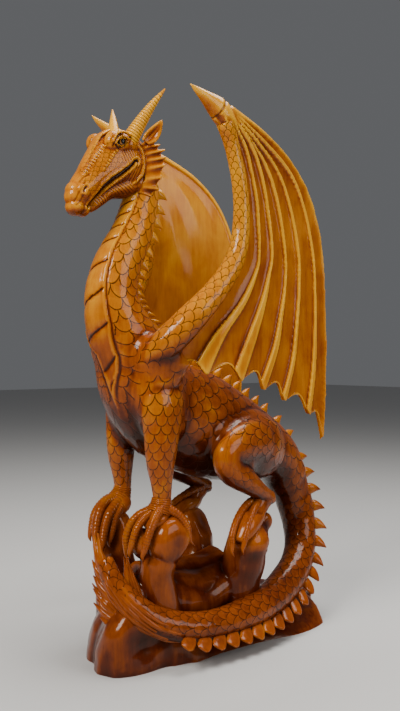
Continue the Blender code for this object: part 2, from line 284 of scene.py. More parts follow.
# colours from the deepest cut to the palest wood; noises say scale, detail, roughness, warp
varnish = {"shades": ((0.018, 0.0018, 0.0003), (0.080, 0.0095, 0.0006), (0.27, 0.054, 0.0012),
                      (0.50, 0.165, 0.0035), (0.72, 0.34, 0.011)),
           "grain": (260, 5, 0.6, 0.3), "bands": (42, 3, 0.5, 1.2), "mottle": (24, 4, 0.6, 0.4),
           "bandShare": 0.24, "grainShare": 0.24, "mottleShare": 0.40,
           "alongGrain": (1.0, 1.0, 0.16), "lean": (0.12, -0.06, 0),
           # painted shade in hollows and under faces, then painted shade low and painted light high
           # on the carving, by height
           "hollowFrom": 0.30, "hollowTo": 0.80, "crestTone": 0.72, "hollowTone": 0.12,
           "paleShare": 0.34, "heightShadeLow": 0.02, "heightShadeHigh": 0.45, "heightShade": (-0.30, 0.12),
           "cutShadeShare": 0.86, "gloss": 0.24, "grainGloss": 0.10, "cutGloss": 0.25,
           "fineBump": 0.12, "fineDepth": 0.0003,
           "coat": {"Coat Weight": 0.38, "Coat Roughness": 0.10, "Specular IOR Level": 0.12,
                    "Specular Tint": (1.0, 0.55, 0.20, 1.0)}}


def newGroup(name, inputs, outputs):
    group = bpy.data.node_groups.new(name, "ShaderNodeTree")
    for label, kind, value in inputs:
        socket = group.interface.new_socket(name=label, in_out="INPUT", socket_type=kind)
        if value is not None:
            socket.default_value = value
    for label, kind in outputs:
        group.interface.new_socket(name=label, in_out="OUTPUT", socket_type=kind)
    start = group.nodes.new("NodeGroupInput")
    end = group.nodes.new("NodeGroupOutput")
    return group, start, end


def setValues(node, values):
    for label, value in values.items():
        node.inputs[label].default_value = value


def feed(tree, target, source):
    if isinstance(source, bpy.types.NodeSocket):
        tree.links.new(source, target)
    else:
        target.default_value = source


def mathOf(tree, kind, a, b=None, c=None, clamp=False):
    node = tree.nodes.new("ShaderNodeMath")
    node.operation = kind
    node.use_clamp = clamp
    for socket, value in zip(node.inputs, (a, b, c)):
        if value is not None:
            feed(tree, socket, value)
    return node.outputs[0]


def span(tree, value, low, high, a=0.0, b=1.0, smooth=True):
    node = tree.nodes.new("ShaderNodeMapRange")
    node.interpolation_type = "SMOOTHSTEP" if smooth else "LINEAR"
    for label, given in (("Value", value), ("From Min", low), ("From Max", high),
                         ("To Min", a), ("To Max", b)):
        feed(tree, node.inputs[label], given)
    return node.outputs[0]


def blendColor(tree, factor, a, b):
    node = tree.nodes.new("ShaderNodeMix")
    node.data_type = "RGBA"
    feed(tree, node.inputs[0], factor)
    for socket, value in ((node.inputs[6], a), (node.inputs[7], b)):
        feed(tree, socket, value if isinstance(value, bpy.types.NodeSocket) else (*value, 1.0))
    return node.outputs[2]


def noiseOf(tree, vector, scale, detail, rough, warp):
    node = tree.nodes.new("ShaderNodeTexNoise")
    tree.links.new(vector, node.inputs["Vector"])
    setValues(node, {"Scale": scale, "Detail": detail, "Roughness": rough, "Distortion": warp})
    return node.outputs["Fac"]


def splitOf(tree, vector):
    node = tree.nodes.new("ShaderNodeSeparateXYZ")
    tree.links.new(vector, node.inputs[0])
    return node.outputs


# honey-brown wood under a stained lacquer: grain and mottle, with painted shade in hollows, under
# faces and cuts, and painted shade low and painted light high
def makeWoodGroup():
    group, start, end = newGroup(
        "lacqueredWood",
        [("Vector", "NodeSocketVector", None), ("Hollow", "NodeSocketFloat", 0.5),
         ("Groove", "NodeSocketFloat", 0.0), ("Pale", "NodeSocketFloat", 0.0)],
        [("Color", "NodeSocketColor"), ("Roughness", "NodeSocketFloat"),
         ("Height", "NodeSocketFloat")])
    given = start.outputs
    place = group.nodes.new("ShaderNodeMapping")
    setValues(place, {"Scale": varnish["alongGrain"], "Rotation": varnish["lean"]})
    group.links.new(given["Vector"], place.inputs["Vector"])
    grain = noiseOf(group, place.outputs[0], *varnish["grain"])
    bands = noiseOf(group, place.outputs[0], *varnish["bands"])
    mottle = noiseOf(group, given["Vector"], *varnish["mottle"])
    tone = mathOf(group, "MULTIPLY_ADD", bands, varnish["bandShare"], -varnish["bandShare"] / 2)
    for noiseHere, share in ((grain, varnish["grainShare"]), (mottle, varnish["mottleShare"])):
        tone = mathOf(group, "ADD", tone,
                      mathOf(group, "MULTIPLY_ADD", noiseHere, share, -share / 2))
    bright = span(group, given["Hollow"], varnish["hollowFrom"], varnish["hollowTo"],
                  varnish["crestTone"], varnish["hollowTone"])
    bright = mathOf(group, "ADD", bright,
                    mathOf(group, "MULTIPLY", given["Pale"], varnish["paleShare"]))
    # painted shade deepens toward the foot of the carving, painted light toward its top
    heightShade = span(group, splitOf(group, given["Vector"])[2], varnish["heightShadeLow"],
                 varnish["heightShadeHigh"], *varnish["heightShade"], smooth=False)
    bright = mathOf(group, "ADD", bright, heightShade)
    bright = mathOf(group, "ADD", bright, tone, clamp=True)
    ramp = group.nodes.new("ShaderNodeValToRGB")
    stops = ramp.color_ramp.elements
    while len(stops) < len(varnish["shades"]):
        stops.new(0.5)
    for k, (stop, shade) in enumerate(zip(stops, varnish["shades"])):
        stop.position = k / (len(stops) - 1)
        stop.color = (*shade, 1)
    group.links.new(bright, ramp.inputs[0])
    # painted shade in the carved cuts
    withCutShade = blendColor(group, mathOf(group, "MULTIPLY", given["Groove"], varnish["cutShadeShare"]),
                       ramp.outputs[0], varnish["shades"][0])
    group.links.new(withCutShade, end.inputs["Color"])
    gloss = mathOf(group, "MULTIPLY_ADD", grain, varnish["grainGloss"], varnish["gloss"])
    group.links.new(mathOf(group, "MULTIPLY_ADD", given["Groove"], varnish["cutGloss"], gloss),
                    end.inputs["Roughness"])
    group.links.new(mathOf(group, "MULTIPLY_ADD", bands, 0.4, grain), end.inputs["Height"])
    return group


# engraved overlapping scales: a cut round each, its line darkened with painted shade, the free edge
# raised
def makeScaleGroup():
    group, start, end = newGroup(
        "carvedScales", [("Pattern", "NodeSocketVector", None), ("Cut", "NodeSocketFloat", 0.1)],
        [("Line", "NodeSocketFloat"), ("Height", "NodeSocketFloat")])
    cut = start.outputs["Cut"]
    u, v = splitOf(group, start.outputs["Pattern"])[:2]
    row = mathOf(group, "FLOOR", v)
    fv = mathOf(group, "SUBTRACT", v, row)
    odd = mathOf(group, "MULTIPLY", mathOf(group, "FLOORED_MODULO", row, 2.0), 0.5)
    du = mathOf(group, "SUBTRACT", mathOf(group, "FRACT", mathOf(group, "ADD", u, odd)), 0.5)
    du = mathOf(group, "MULTIPLY", du, 2.0)
    rho = mathOf(group, "SQRT",
                 mathOf(group, "MULTIPLY_ADD", du, du, mathOf(group, "MULTIPLY", fv, fv)))
    gap = mathOf(group, "ABSOLUTE", mathOf(group, "SUBTRACT", rho, 1.0))
    line = span(group, gap, mathOf(group, "MULTIPLY", cut, 0.35), cut, 1.0, 0.0)
    inside = mathOf(group, "LESS_THAN", rho, 1.0)
    dome = mathOf(group, "MULTIPLY_ADD", mathOf(group, "MULTIPLY", rho, rho), 0.5, 0.4)
    group.links.new(line, end.inputs["Line"])
    group.links.new(mathOf(group, "SUBTRACT", mathOf(group, "MULTIPLY", inside, dome), line),
                    end.inputs["Height"])
    return group


# one cut at the foot of every belly plate, its line darkened with painted shade
def makePlateGroup():
    group, start, end = newGroup("bellyPlates", [("Pattern", "NodeSocketVector", None)],
                                 [("Line", "NodeSocketFloat")])
    down = splitOf(group, start.outputs["Pattern"])[1]
    part = mathOf(group, "FRACT", mathOf(group, "ADD", down, 0.5))
    gap = mathOf(group, "ABSOLUTE", mathOf(group, "SUBTRACT", part, 0.5))
    group.links.new(span(group, gap, 0.015, 0.05, 1.0, 0.0), end.inputs["Line"])
    return group


woodGroup = makeWoodGroup()
scaleGroup = makeScaleGroup()
plateGroup = makePlateGroup()


def placeGroup(tree, group, **given):
    node = tree.nodes.new("ShaderNodeGroup")
    node.node_tree = group
    for label, value in given.items():
        feed(tree, node.inputs[label], value)
    return node


def fieldOf(tree, name):
    node = tree.nodes.new("ShaderNodeAttribute")
    node.attribute_name = name
    return node.outputs["Fac"]


def chartOf(tree, name):
    node = tree.nodes.new("ShaderNodeUVMap")
    node.uv_map = name
    return node.outputs[0]


def bumpOf(tree, height, strength, depth, under=None):
    node = tree.nodes.new("ShaderNodeBump")
    setValues(node, {"Strength": strength, "Distance": depth})
    tree.links.new(height, node.inputs["Height"])
    if under is not None:
        tree.links.new(under, node.inputs["Normal"])
    return node.outputs[0]


def newMaterial(name):
    material = bpy.data.materials.new(name)
    material.use_nodes = True
    return material, material.node_tree, material.node_tree.nodes["Principled BSDF"]


# lacquer over carved wood; scales and plates come from the piece's own pattern maps
def makeCarved(name, pale=0.0, scaled=False, plated=False, cut=0.085, relief=0.0005,
               palePart=None):
    material, tree, shader = newMaterial(name)
    where = tree.nodes.new("ShaderNodeTexCoord").outputs["Object"]
    # painted shade in the cuts, from the piece's layer and its scale and plate lines
    cutShade = fieldOf(tree, "cutShade")
    height = None
    if scaled:
        scales = placeGroup(tree, scaleGroup, Pattern=chartOf(tree, "pattern"), Cut=cut).outputs
        mask = fieldOf(tree, "scaled")
        cutShade = mathOf(tree, "MAXIMUM", cutShade, mathOf(tree, "MULTIPLY", scales["Line"], mask))
        height = mathOf(tree, "MULTIPLY", scales["Height"], mask)
    if plated:
        plates = placeGroup(tree, plateGroup, Pattern=chartOf(tree, "plates")).outputs
        line = mathOf(tree, "MULTIPLY", plates["Line"], fieldOf(tree, "plated"))
        cutShade = mathOf(tree, "MAXIMUM", cutShade, line)
        height = mathOf(tree, "SUBTRACT", height, line)
    if palePart:
        pale = mathOf(tree, "MULTIPLY", fieldOf(tree, palePart), pale)
    wood = placeGroup(tree, woodGroup, Vector=where, Hollow=fieldOf(tree, "hollow"),
                      Groove=cutShade, Pale=pale).outputs
    tree.links.new(wood["Color"], shader.inputs["Base Color"])
    tree.links.new(wood["Roughness"], shader.inputs["Roughness"])
    normal = bumpOf(tree, wood["Height"], varnish["fineBump"], varnish["fineDepth"])
    if height is not None:
        normal = bumpOf(tree, height, 1.0, relief, normal)
    tree.links.new(normal, shader.inputs["Normal"])
    setValues(shader, varnish["coat"])
    return material


def ownPiece(piece, material):
    piece.data.materials.clear()
    piece.data.materials.append(material)
    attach(piece, "root")
    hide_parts(layout["node"])


# scale sizes along a guide (run, width, height) give the pattern place of each point
def patternOn(guide, run, turn, radius, sizes):
    stops, widths, heights = (np.array(column) * layout["unit"] for column in zip(*sizes))
    width = np.interp(run, stops, widths)
    tall = np.interp(guide["run"], stops, heights)
    steps = np.diff(guide["run"]) / ((tall[1:] + tall[:-1]) / 2)
    rows = np.concatenate([[0], np.cumsum(steps)])
    slope = (rows[-1] - rows[-2]) / (guide["run"][-1] - guide["run"][-2])
    v = np.interp(run, guide["run"], rows)
    v = v + np.where(run > guide["run"][-1], (run - guide["run"][-1]) * slope, 0)
    v = v + np.where(run < 0, run * steps[0] / max(guide["run"][1], 1e-6), 0)
    u = turn * radius / width
    # the rows wander a little, as hand-cut ones do
    return u + 0.07 * np.sin(1.9 * v + 1.3 * u), v + 0.09 * np.sin(2.3 * u + 0.8 * v)


def wrap(turn):
    return (turn + math.pi) % (2 * math.pi) - math.pi


# neck, trunk, legs to the wrists, wing arms and tail
body = {
    "neck": [(74, 0, 474, 17, 13), (79, 0, 450, 19, 16), (89, 0, 420, 21, 19),
             (106, 0, 388, 24, 22), (113, 0, 358, 27, 25), (106, 0, 328, 32, 31),
             (88, 0, 296, 40, 40), (74, 0, 264, 45, 44), (46, 0, 242, 54, 45),
             (10, 0, 228, 56, 44), (-26, 0, 214, 52, 42), (-62, 0, 202, 44, 40),
             (-96, 0, 190, 34, 34), (-120, 1, 170, 28, 28), (-134, 4, 142, 23, 23)],
    "tail": [(-120, 1, 172, 27, 27), (-134, 4, 142, 23, 23), (-141, 9, 112, 20, 20),
             (-135, 19, 83, 18, 18), (-115, 31, 62, 18, 18), (-83, 43, 46, 19, 18),
             (-47, 54, 37, 18, 17), (-10, 62, 34, 17, 16), (30, 65, 33, 15, 15),
             (66, 63, 36, 15, 14), (100, 55, 47, 14, 13), (122, 43, 66, 12, 12),
             (132, 29, 85, 10, 11), (134, 18, 104, 8, 9)],
    "foreleg": [(80, 36, 256, 26, 19), (83, 41, 224, 20, 15.5), (85, 42, 196, 15.5, 13),
                (84, 42, 176, 11.5, 10), (83, 42, 158, 9, 8.5), (84, 42, 146, 9.5, 9.5)],
    "legRoot": (66, 24, 296, 30, 24), "legTop": (70, 28, 286, 16, 11),
    "thigh": [(-84, 24, 200, 22, 13), (-50, 38, 204, 28, 19), (-16, 47, 205, 25, 18),
              (5, 51, 196, 20, 15), (2, 52, 182, 17, 14), (-14, 53, 171, 15, 12),
              (-32, 53, 159, 10.5, 9.5), (-46, 52, 151, 8, 7.5), (-57, 51, 147, 6.5, 6.5)],
    "instep": [(-57, 51, 147, 7, 7), (-43, 52, 140, 10, 9), (-27, 54, 130, 12.5, 12),
               (-12, 57, 119, 11, 13), (0, 59, 108, 6, 9)],
    "arm": [(96, 30, 292, 17), (84, 54, 312, 16), (66, 66, 334, 14.5), (38, 73, 364, 11.8),
            (18, 77, 396, 9.8), (12, 78, 430, 8.6), (16, 80, 466, 7.8), (27, 81, 502, 7.6),
            (38, 82.5, 524, 9)],
    "flare": [(92, 24, 282, 24, 22), (80, 41, 286, 20, 17), (69, 52, 290, 13, 10),
              (58, 59, 294, 6, 4)],
    # share of farBack that each takes, then place, size, tilt and detail
    "lumps": [(0.4, 80, 31, 266, 30, 21, 40, 8, 4), (0, 81, 41, 283, 22, 15.5, 24, 0, 4),
              (1, 68, 43, 226, 9.5, 8, 9, 0, 4), (1, 66, 46, 225.5, 5, 4.5, 5, 0, 3),
              (0, -46, 31, 202, 47, 25, 38, -14, 4)],
    "farBack": 12, "grain": 0.00186, "seamRounds": 48, "seamGain": 9, "bareRounds": 2,
    "bareGain": 1.6, "meltRounds": 90, "wingReach": 1.15,
    "neckScales": [(0, 13, 8.5), (60, 14, 9), (150, 17, 10), (230, 18.5, 11), (330, 18.5, 11),
                   (450, 15, 10)],
    "tailScales": [(0, 15, 9), (100, 13.5, 8.5), (250, 12, 8), (400, 10, 7), (520, 8, 6)],
    "legScales": [(0, 15, 9.5), (100, 12, 8), (170, 9, 6.5)],
    "thighScales": [(0, 15, 9.5), (80, 13.5, 9), (160, 9, 7)],
    "armScales": [(0, 14, 9), (80, 11, 7.5), (250, 7.5, 5.5)],
    "relief": 0.00024, "plateRelief": 0.0016, "plateDrop": 0.0135, "plateFront": -0.04,
    "rimHeight": 0.0012, "rimAt": 0.012, "rimWidth": 0.045,
    "grooveDepth": 0.0007, "grooveAt": 0.10, "grooveWidth": 0.035,
    "plateMarks": [463, 450, 437, 421, 404, 384, 361, 337, 313, 289, 262],
    # the plates' two edges: run down the neck in metres, angles from its front
    "bandRun": [0, 0.0345, 0.06, 0.0855, 0.104, 0.118, 0.131, 0.147, 0.158, 0.167, 0.174, 0.186,
                0.202, 0.213, 0.222],
    "bandNear": [0.70, 0.65, 0.52, 0.55, 0.61, 0.65, 0.69, 0.70, 0.64, 0.61, 0.60, 0.50, 0.36,
                 0.25, 0.2],
    "bandFar": [-0.6, -0.62, -0.66, -0.68, -0.72, -0.75, -0.75, -0.75, -0.5, 0.02, 0.05, 0.10,
                0.17, 0.24, 0.3],
    # polished places without scales: place, full within, none beyond, how much
    "smoothSpots": [((8, 52, 194), 12, 30, 0.9), ((-36, 54, 158), 10, 34, 0.55),
                    ((-22, 56, 126), 20, 30, 1.0)]}


def makeBody():
    bm = bmesh.new()
    limb(bm, body["neck"], 60, 32)
    limb(bm, body["tail"], 70, 24)
    guides = [("neckScales", guideOf(body["neck"], 220), 0, 1.0),
              ("tailScales", guideOf(body["tail"], 260), 0, 1.0)]
    for s, back in ((1, 0), (-1, body["farBack"])):
        leg = [(f - back, l * s, *rest) for f, l, *rest in body["foreleg"]]
        limb(bm, [sided(body["legTop"], s)] + leg, 28, 24)
        for share, f, l, *rest in body["lumps"]:
            lump(bm, f - back * share, l * s, *rest)
        thigh, instep, flare, arm = (mirrored(body[name], s)
                                     for name in ("thigh", "instep", "flare", "arm"))
        limb(bm, thigh, 44, 24)
        limb(bm, instep, 20, 20)
        limb(bm, flare, 20, 20)
        limb(bm, arm, 60, 24)
        guides.append(("legScales", guideOf([sided(body["legRoot"], s)] + leg, 110), s, 1.0))
        guides.append(("thighScales", guideOf(thigh[:1] + thigh, 140), s, 1.0))
        guides.append(("armScales", guideOf(arm, 140), s, body["wingReach"]))
    piece = fuse(bm, "dragon_body", body["grain"], 3)
    mesh = piece.data
    points = readVectors(mesh, "co")
    followed = [followGuide(points, g) for _, g, _, _ in guides]
    region = np.stack([f[0] * g[3] for f, g in zip(followed, guides)]).argmin(axis=0)
    # seams between the limbs are rounded over and left free of scales
    a, b = readPairs(mesh)
    seam = np.zeros(len(points))
    across = region[a] != region[b]
    seam[a[across]] = 1
    seam[b[across]] = 1
    nearSeam = np.clip(neighbourMean(mesh, seam, body["seamRounds"]) * body["seamGain"], 0, 1)
    onSeam = np.clip(neighbourMean(mesh, seam, body["bareRounds"]) * body["bareGain"], 0, 1)
    melted = neighbourMean(mesh, points, body["meltRounds"])
    points = points + (melted - points) * nearSeam[:, None]
    writePoints(mesh, points)
    normals = readVectors(mesh, "normal")
    u = np.zeros((len(guides), len(points)))
    v = np.zeros((len(guides), len(points)))
    for k, (kind, guide, s, _) in enumerate(guides):
        run, turn, radius = followed[k][1:]
        turn = wrap(turn - s * math.pi / 2 if s else turn + math.pi)
        u[k], v[k] = patternOn(guide, run, turn, radius, body[kind])
    # belly plates down the front of the neck and chest
    guide = guides[0][1]
    run = followed[0][1]
    nearEdge = np.interp(run, body["bandRun"], body["bandNear"])
    farEdge = np.interp(run, body["bandRun"], body["bandFar"])
    band = (nearEdge - farEdge) / 2
    turn = followed[0][2] - (nearEdge + farEdge) / 2
    beyond = np.abs(turn) - band
    high = guide["place"][:, 2] / layout["unit"]
    stop = int(high.argmin())
    marks = [guide["run"][int(np.abs(high[:stop + 1] - z).argmin())] for z in body["plateMarks"]]
    across = np.clip(turn / np.maximum(band, 0.04), -1, 1)
    fall = body["plateDrop"] * ((1 - across) / 2) ** 0.85
    plates = np.interp(run - fall, marks, np.arange(len(marks)))
    mine = (region == 0) & (run < body["bandRun"][-1]) & (points[:, 1] < body["plateFront"])
    inside = np.where(mine & (band > 0), ease(beyond, 0.035, -0.015), 0)
    pillow = 1 - np.abs(2 * (plates % 1.0) - 1) ** 5
    rim = np.where(mine, bell(beyond - body["rimAt"], body["rimWidth"]), 0)
    groove = np.where(mine, bell(beyond - body["grooveAt"], body["grooveWidth"]), 0)
    groove = groove * ease(run, 0.219, 0.210)
    scales = (1 - inside) * (1 - np.clip(rim + groove, 0, 1)) * (1 - onSeam)
    for place, near, far, most in body["smoothSpots"]:
        spot = np.tile(put(*place), (len(points), 1))
        spot[:, 0] *= np.sign(points[:, 0])
        gap = np.linalg.norm(points - spot, axis=1) / layout["unit"]
        scales = scales * (1 - most * ease(gap, far, near))
    pick = (region, np.arange(len(points)))
    move = (scaleHeight(u[pick], v[pick]) - 0.6) * body["relief"] * scales
    move = move + inside * (pillow - 0.5) * body["plateRelief"]
    move = move + rim * body["rimHeight"] - groove * body["grooveDepth"]
    writePoints(mesh, points + normals * move[:, None])
    keepField(mesh, "scaled", scales)
    # painted shade in the groove beside the belly plates
    keepField(mesh, "cutShade", groove * 0.6)
    keepField(mesh, "plated", inside)
    paintShade(mesh)
    keepPattern(mesh, "pattern", u, v, region)
    keepFlatPattern(mesh, "plates", across, plates)
    ownPiece(piece, makeCarved("scaledWood", scaled=True, plated=True, relief=0.00028))


# painted shade: fine and broad hollows, and faces that look down, darken the carving
shade = {"near": 0.30, "wide": 0.70, "under": 0.24, "underFrom": 0.05, "underTo": 0.75}


def paintShade(mesh, fine=0.0006, broad=0.005, rounds=(8, 60)):
    down = -neighbourMean(mesh, readVectors(mesh, "normal")[:, 2], 12)
    dark = (shade["near"] * hollows(mesh, rounds[0], fine)
            + shade["wide"] * hollows(mesh, rounds[1], broad)
            + shade["under"] * ease(down, shade["underFrom"], shade["underTo"]))
    keepField(mesh, "hollow", np.clip(dark, 0, 1))


wing = {
    "fingers": [
        [(46, 83, 530), (33, 81, 517), (18, 80, 485), (11, 78, 452), (9, 77, 420), (22, 74, 384),
         (50, 67, 344), (70, 56, 314), (80, 44, 286)],
        [(39, 82, 530), (15, 80, 505), (3, 78, 478), (-5, 77, 449), (-10, 75, 403), (-6, 74, 379),
         (8, 73, 350), (31, 69, 318), (48, 63, 280)],
        [(37, 82, 532), (6, 79, 507), (-11, 77, 480), (-22, 75, 446), (-29, 74, 405),
         (-26, 73, 380), (-19, 73, 350), (-8, 72, 317), (8, 69, 273)],
        [(36, 82, 533), (1, 78, 509), (-23, 76, 482), (-39, 74, 448), (-50, 72, 404),
         (-51, 71, 371), (-46, 71, 338), (-39, 71, 304), (-22, 70, 263)],
        [(35, 82, 534), (-6, 78, 511), (-39, 74, 485), (-59, 72, 448), (-71, 71, 406),
         (-73, 70, 367), (-70, 70, 328), (-65, 70, 291), (-52, 70, 251)],
        [(34, 82, 535), (-16, 77, 513), (-57, 73, 487), (-81, 70, 453), (-95, 69, 408),
         (-100, 68, 364), (-101, 68, 322), (-99, 68, 280), (-92, 68, 235)],
        [(33, 82, 537), (-18, 77, 522), (-60, 72, 501), (-93, 69, 467), (-113, 67, 417),
         (-119, 66, 362), (-121, 66, 310), (-120, 66, 259), (-116, 67, 206)]],
    "claw": [(28, 81.5, 514, 7, 7), (34, 82, 523, 9.5, 9), (43, 82, 533, 12, 9.5),
             (52, 82, 538.5, 10, 8), (63, 82.5, 543.5, 6.2, 5.4), (73.5, 83, 548, 3.2, 3),
             (82, 83, 552, 0.6, 0.6)],
    # how much more the far wing's claw turns up
    "farLift": (0, 0, 0.5, 1.5, 3, 4.5, 6),
    "rim": (4.2, 3.2, 2.5, 2.2, 2.1, 2.0, 2.0, 1.9, 1.1),
    "wedge": (0, 11, 10, 6, 3.5, 4, 0), "skin": 0.0060, "down": 60, "across": 48, "sag": 2.3,
    "scallop": 0.048, "grain": 0.0012, "ridge": 0.0011, "ridgeSlope": 0.0011,
    "thinRidge": 0.0009, "wedgeFrom": 0.52, "rimOut": 0.45, "collarAt": 0.028,
    # the last three: a paler web, painted highlight on the ridges, painted shade in the panel
    # hollows
    "collarWidth": 0.0010, "collarDepth": 0.0009, "webPale": 0.62, "ridgeHighlight": 0.38,
    "panelShade": 0.30}


def makeWing(name, s):
    bm = bmesh.new()
    fingers = wing["fingers"]
    panels = len(fingers) - 1
    grid = bmesh.ops.create_grid(bm, x_segments=wing["down"], y_segments=wing["across"], size=1)
    samples = []
    for vert in grid["verts"]:
        place = (vert.co.y + 1) / 2 * panels
        panel = min(int(place + 1e-6), panels - 1)
        w = place - panel
        belly = math.sin(math.pi * min(max(w, 0), 1))
        t = (vert.co.x + 1) / 2 * (1 - wing["scallop"] * belly)
        ends = (min(t + 0.01, 1), max(t - 0.01, 0))
        a, b = (put(*sided(smoothAt(fingers[panel + k], t), s)) for k in (0, 1))
        vert.co = a.lerp(b, w)
        ways = []
        for k in (0, 1):
            ahead, behind = (put(*sided(smoothAt(fingers[panel + k], end), s)) for end in ends)
            ways.append((ahead - behind) / (ends[0] - ends[1]))
        samples.append((*vert.co, *a, *b, *ways[0], *ways[1], panel, t))
    web = bm.faces[:]
    if s > 0:
        bmesh.ops.reverse_faces(bm, faces=web)
    bm.normal_update()
    bmesh.ops.solidify(bm, geom=web, thickness=wing["skin"])
    rim = [(f, (l + wing["rimOut"] * r) * s, z, r)
           for (f, l, z), r in zip(fingers[-1], wing["rim"])]
    limb(bm, rim, 60, 16)
    lifts = wing["farLift"] if s < 0 else (0,) * len(wing["claw"])
    clawLine = [(f + lift * 0.3, l * s, z + lift, d, w)
                for (f, l, z, d, w), lift in zip(wing["claw"], lifts)]
    limb(bm, clawLine, 30, 20)
    piece = fuse(bm, name, wing["grain"], 2)
    mesh = piece.data
    points = readVectors(mesh, "co")
    normals = readVectors(mesh, "normal")
    # where each point lies on the web: which panel, and how far from both its ridges
    samples = np.array(samples)
    spots = samples[:, 0:3]
    nearest = np.empty(len(points), dtype=int)
    chunk = 4000
    for start in range(0, len(points), chunk):
        part = points[start:start + chunk]
        gap = ((part ** 2).sum(axis=1)[:, None] - 2 * part @ spots.T
               + (spots ** 2).sum(axis=1)[None, :])
        nearest[start:start + chunk] = gap.argmin(axis=1)
    mine = samples[nearest]
    left, right, leftWay, rightWay = (mine[:, k:k + 3] for k in (3, 6, 9, 12))
    panel, t = mine[:, 15].astype(int), mine[:, 16]
    off = np.linalg.norm(points - spots[nearest], axis=1)
    for _ in range(3):
        chord = right - left
        size = np.maximum(np.linalg.norm(chord, axis=1), 1e-5)
        w = ((points - left) * chord).sum(axis=1) / size ** 2
        flow = leftWay + (rightWay - leftWay) * np.clip(w, 0, 1)[:, None]
        here = left + chord * w[:, None]
        step = ((points - here) * flow).sum(axis=1) / (flow ** 2).sum(axis=1)
        step = np.clip(step, -0.04, 0.04)
        left = left + leftWay * step[:, None]
        right = right + rightWay * step[:, None]
        t = t + step
    panel = np.where((w < 0) & (panel > 0), panel - 1, panel)
    w = np.where(w < 0, 1 + w, w)
    over = (w > 1) & (panel < panels - 1)
    panel = np.where(over, panel + 1, panel)
    w = np.clip(np.where(over, w - 1, w), 0, 1)
    fan = np.array(wing["wedge"]) * layout["unit"]
    wedge = np.minimum(fan[panel + 1], size * 0.6) * ease(t, wing["wedgeFrom"], 1.0)
    wedge = wing["thinRidge"] + wedge
    toRight = (1 - w) * size
    toLeft = w * size
    inner, later = panel < panels - 1, panel > 0
    crest = np.maximum(ease(toRight, wedge + wing["ridgeSlope"], wedge) * inner,
                       ease(toLeft, 0.0020, 0.0008) * later)
    outer = ease(normals[:, 0] * s, 0.15, 0.5) * ease(off, 0.012, 0.008)
    young = ease(t, 0.02, 0.10)
    hollow = np.sin(math.pi * w) ** 0.7 * np.minimum(1, size / 0.010)
    sag = (1 - crest) * hollow * wing["sag"] * layout["unit"]
    move = outer * young * (crest * wing["ridge"] - sag)
    # a cut line where the claw meets its knuckle, with painted shade in it
    reach, run, _, _ = followGuide(points, guideOf(clawLine, 80))
    collar = bell(run - wing["collarAt"], wing["collarWidth"]) * (reach < 1.3)
    writePoints(mesh, points + normals * (move - collar * wing["collarDepth"])[:, None])
    keepField(mesh, "cutShade", collar * 0.8)
    # the web field: a paler web, painted highlight along the ridge edges and crests, painted shade
    # in the panel hollows
    edgeHighlight = outer * young * np.maximum(bell(toRight - wedge, 0.0013) * inner,
                                      bell(toLeft, 0.0012) * later)
    keepField(mesh, "web",
              wing["webPale"] + wing["ridgeHighlight"] * np.clip(edgeHighlight + 0.5 * outer * crest, 0, 1)
              - wing["panelShade"] * outer * young * (1 - crest) * hollow * ease(t, 1.0, 0.5))
    paintShade(mesh, 0.0005, 0.0030, (6, 36))
    return piece


# a piece of separate closed forms, kept crisp; painted shade in its cuts comes from its own layer,
# painted shade in its hollows from their depth
def assemble(bm, name, material, fine, rounds):
    bmesh.ops.recalc_face_normals(bm, faces=bm.faces)
    mesh = meshOf(bm, name)
    mesh.shade_smooth()
    print(name, sum(len(p.vertices) - 2 for p in mesh.polygons), "triangles")
    keepField(mesh, "hollow", hollows(mesh, rounds, fine))
    ownPiece(show(name, mesh), material)


def withCutShade():
    bm = bmesh.new()
    bm.verts.layers.float.new("cutShade")
    return bm


# place in the side view of each point: distance to a line of (forward, up), share along it
def nearLine(flat, line):
    best = np.full(len(flat), 1e9)
    along = np.zeros(len(flat))
    line = np.array(line, dtype=float)
    lengths = np.linalg.norm(np.diff(line, axis=0), axis=1)
    gone = np.concatenate([[0], np.cumsum(lengths)])
    for a, b, start, length in zip(line, line[1:], gone, lengths):
        t = np.clip(((flat - a) @ (b - a)) / length ** 2, 0, 1)
        gap = np.linalg.norm(flat - (a + t[:, None] * (b - a)), axis=1)
        near = gap < best
        best = np.where(near, gap, best)
        along = np.where(near, (start + t * length) / gone[-1], along)
    return best, along


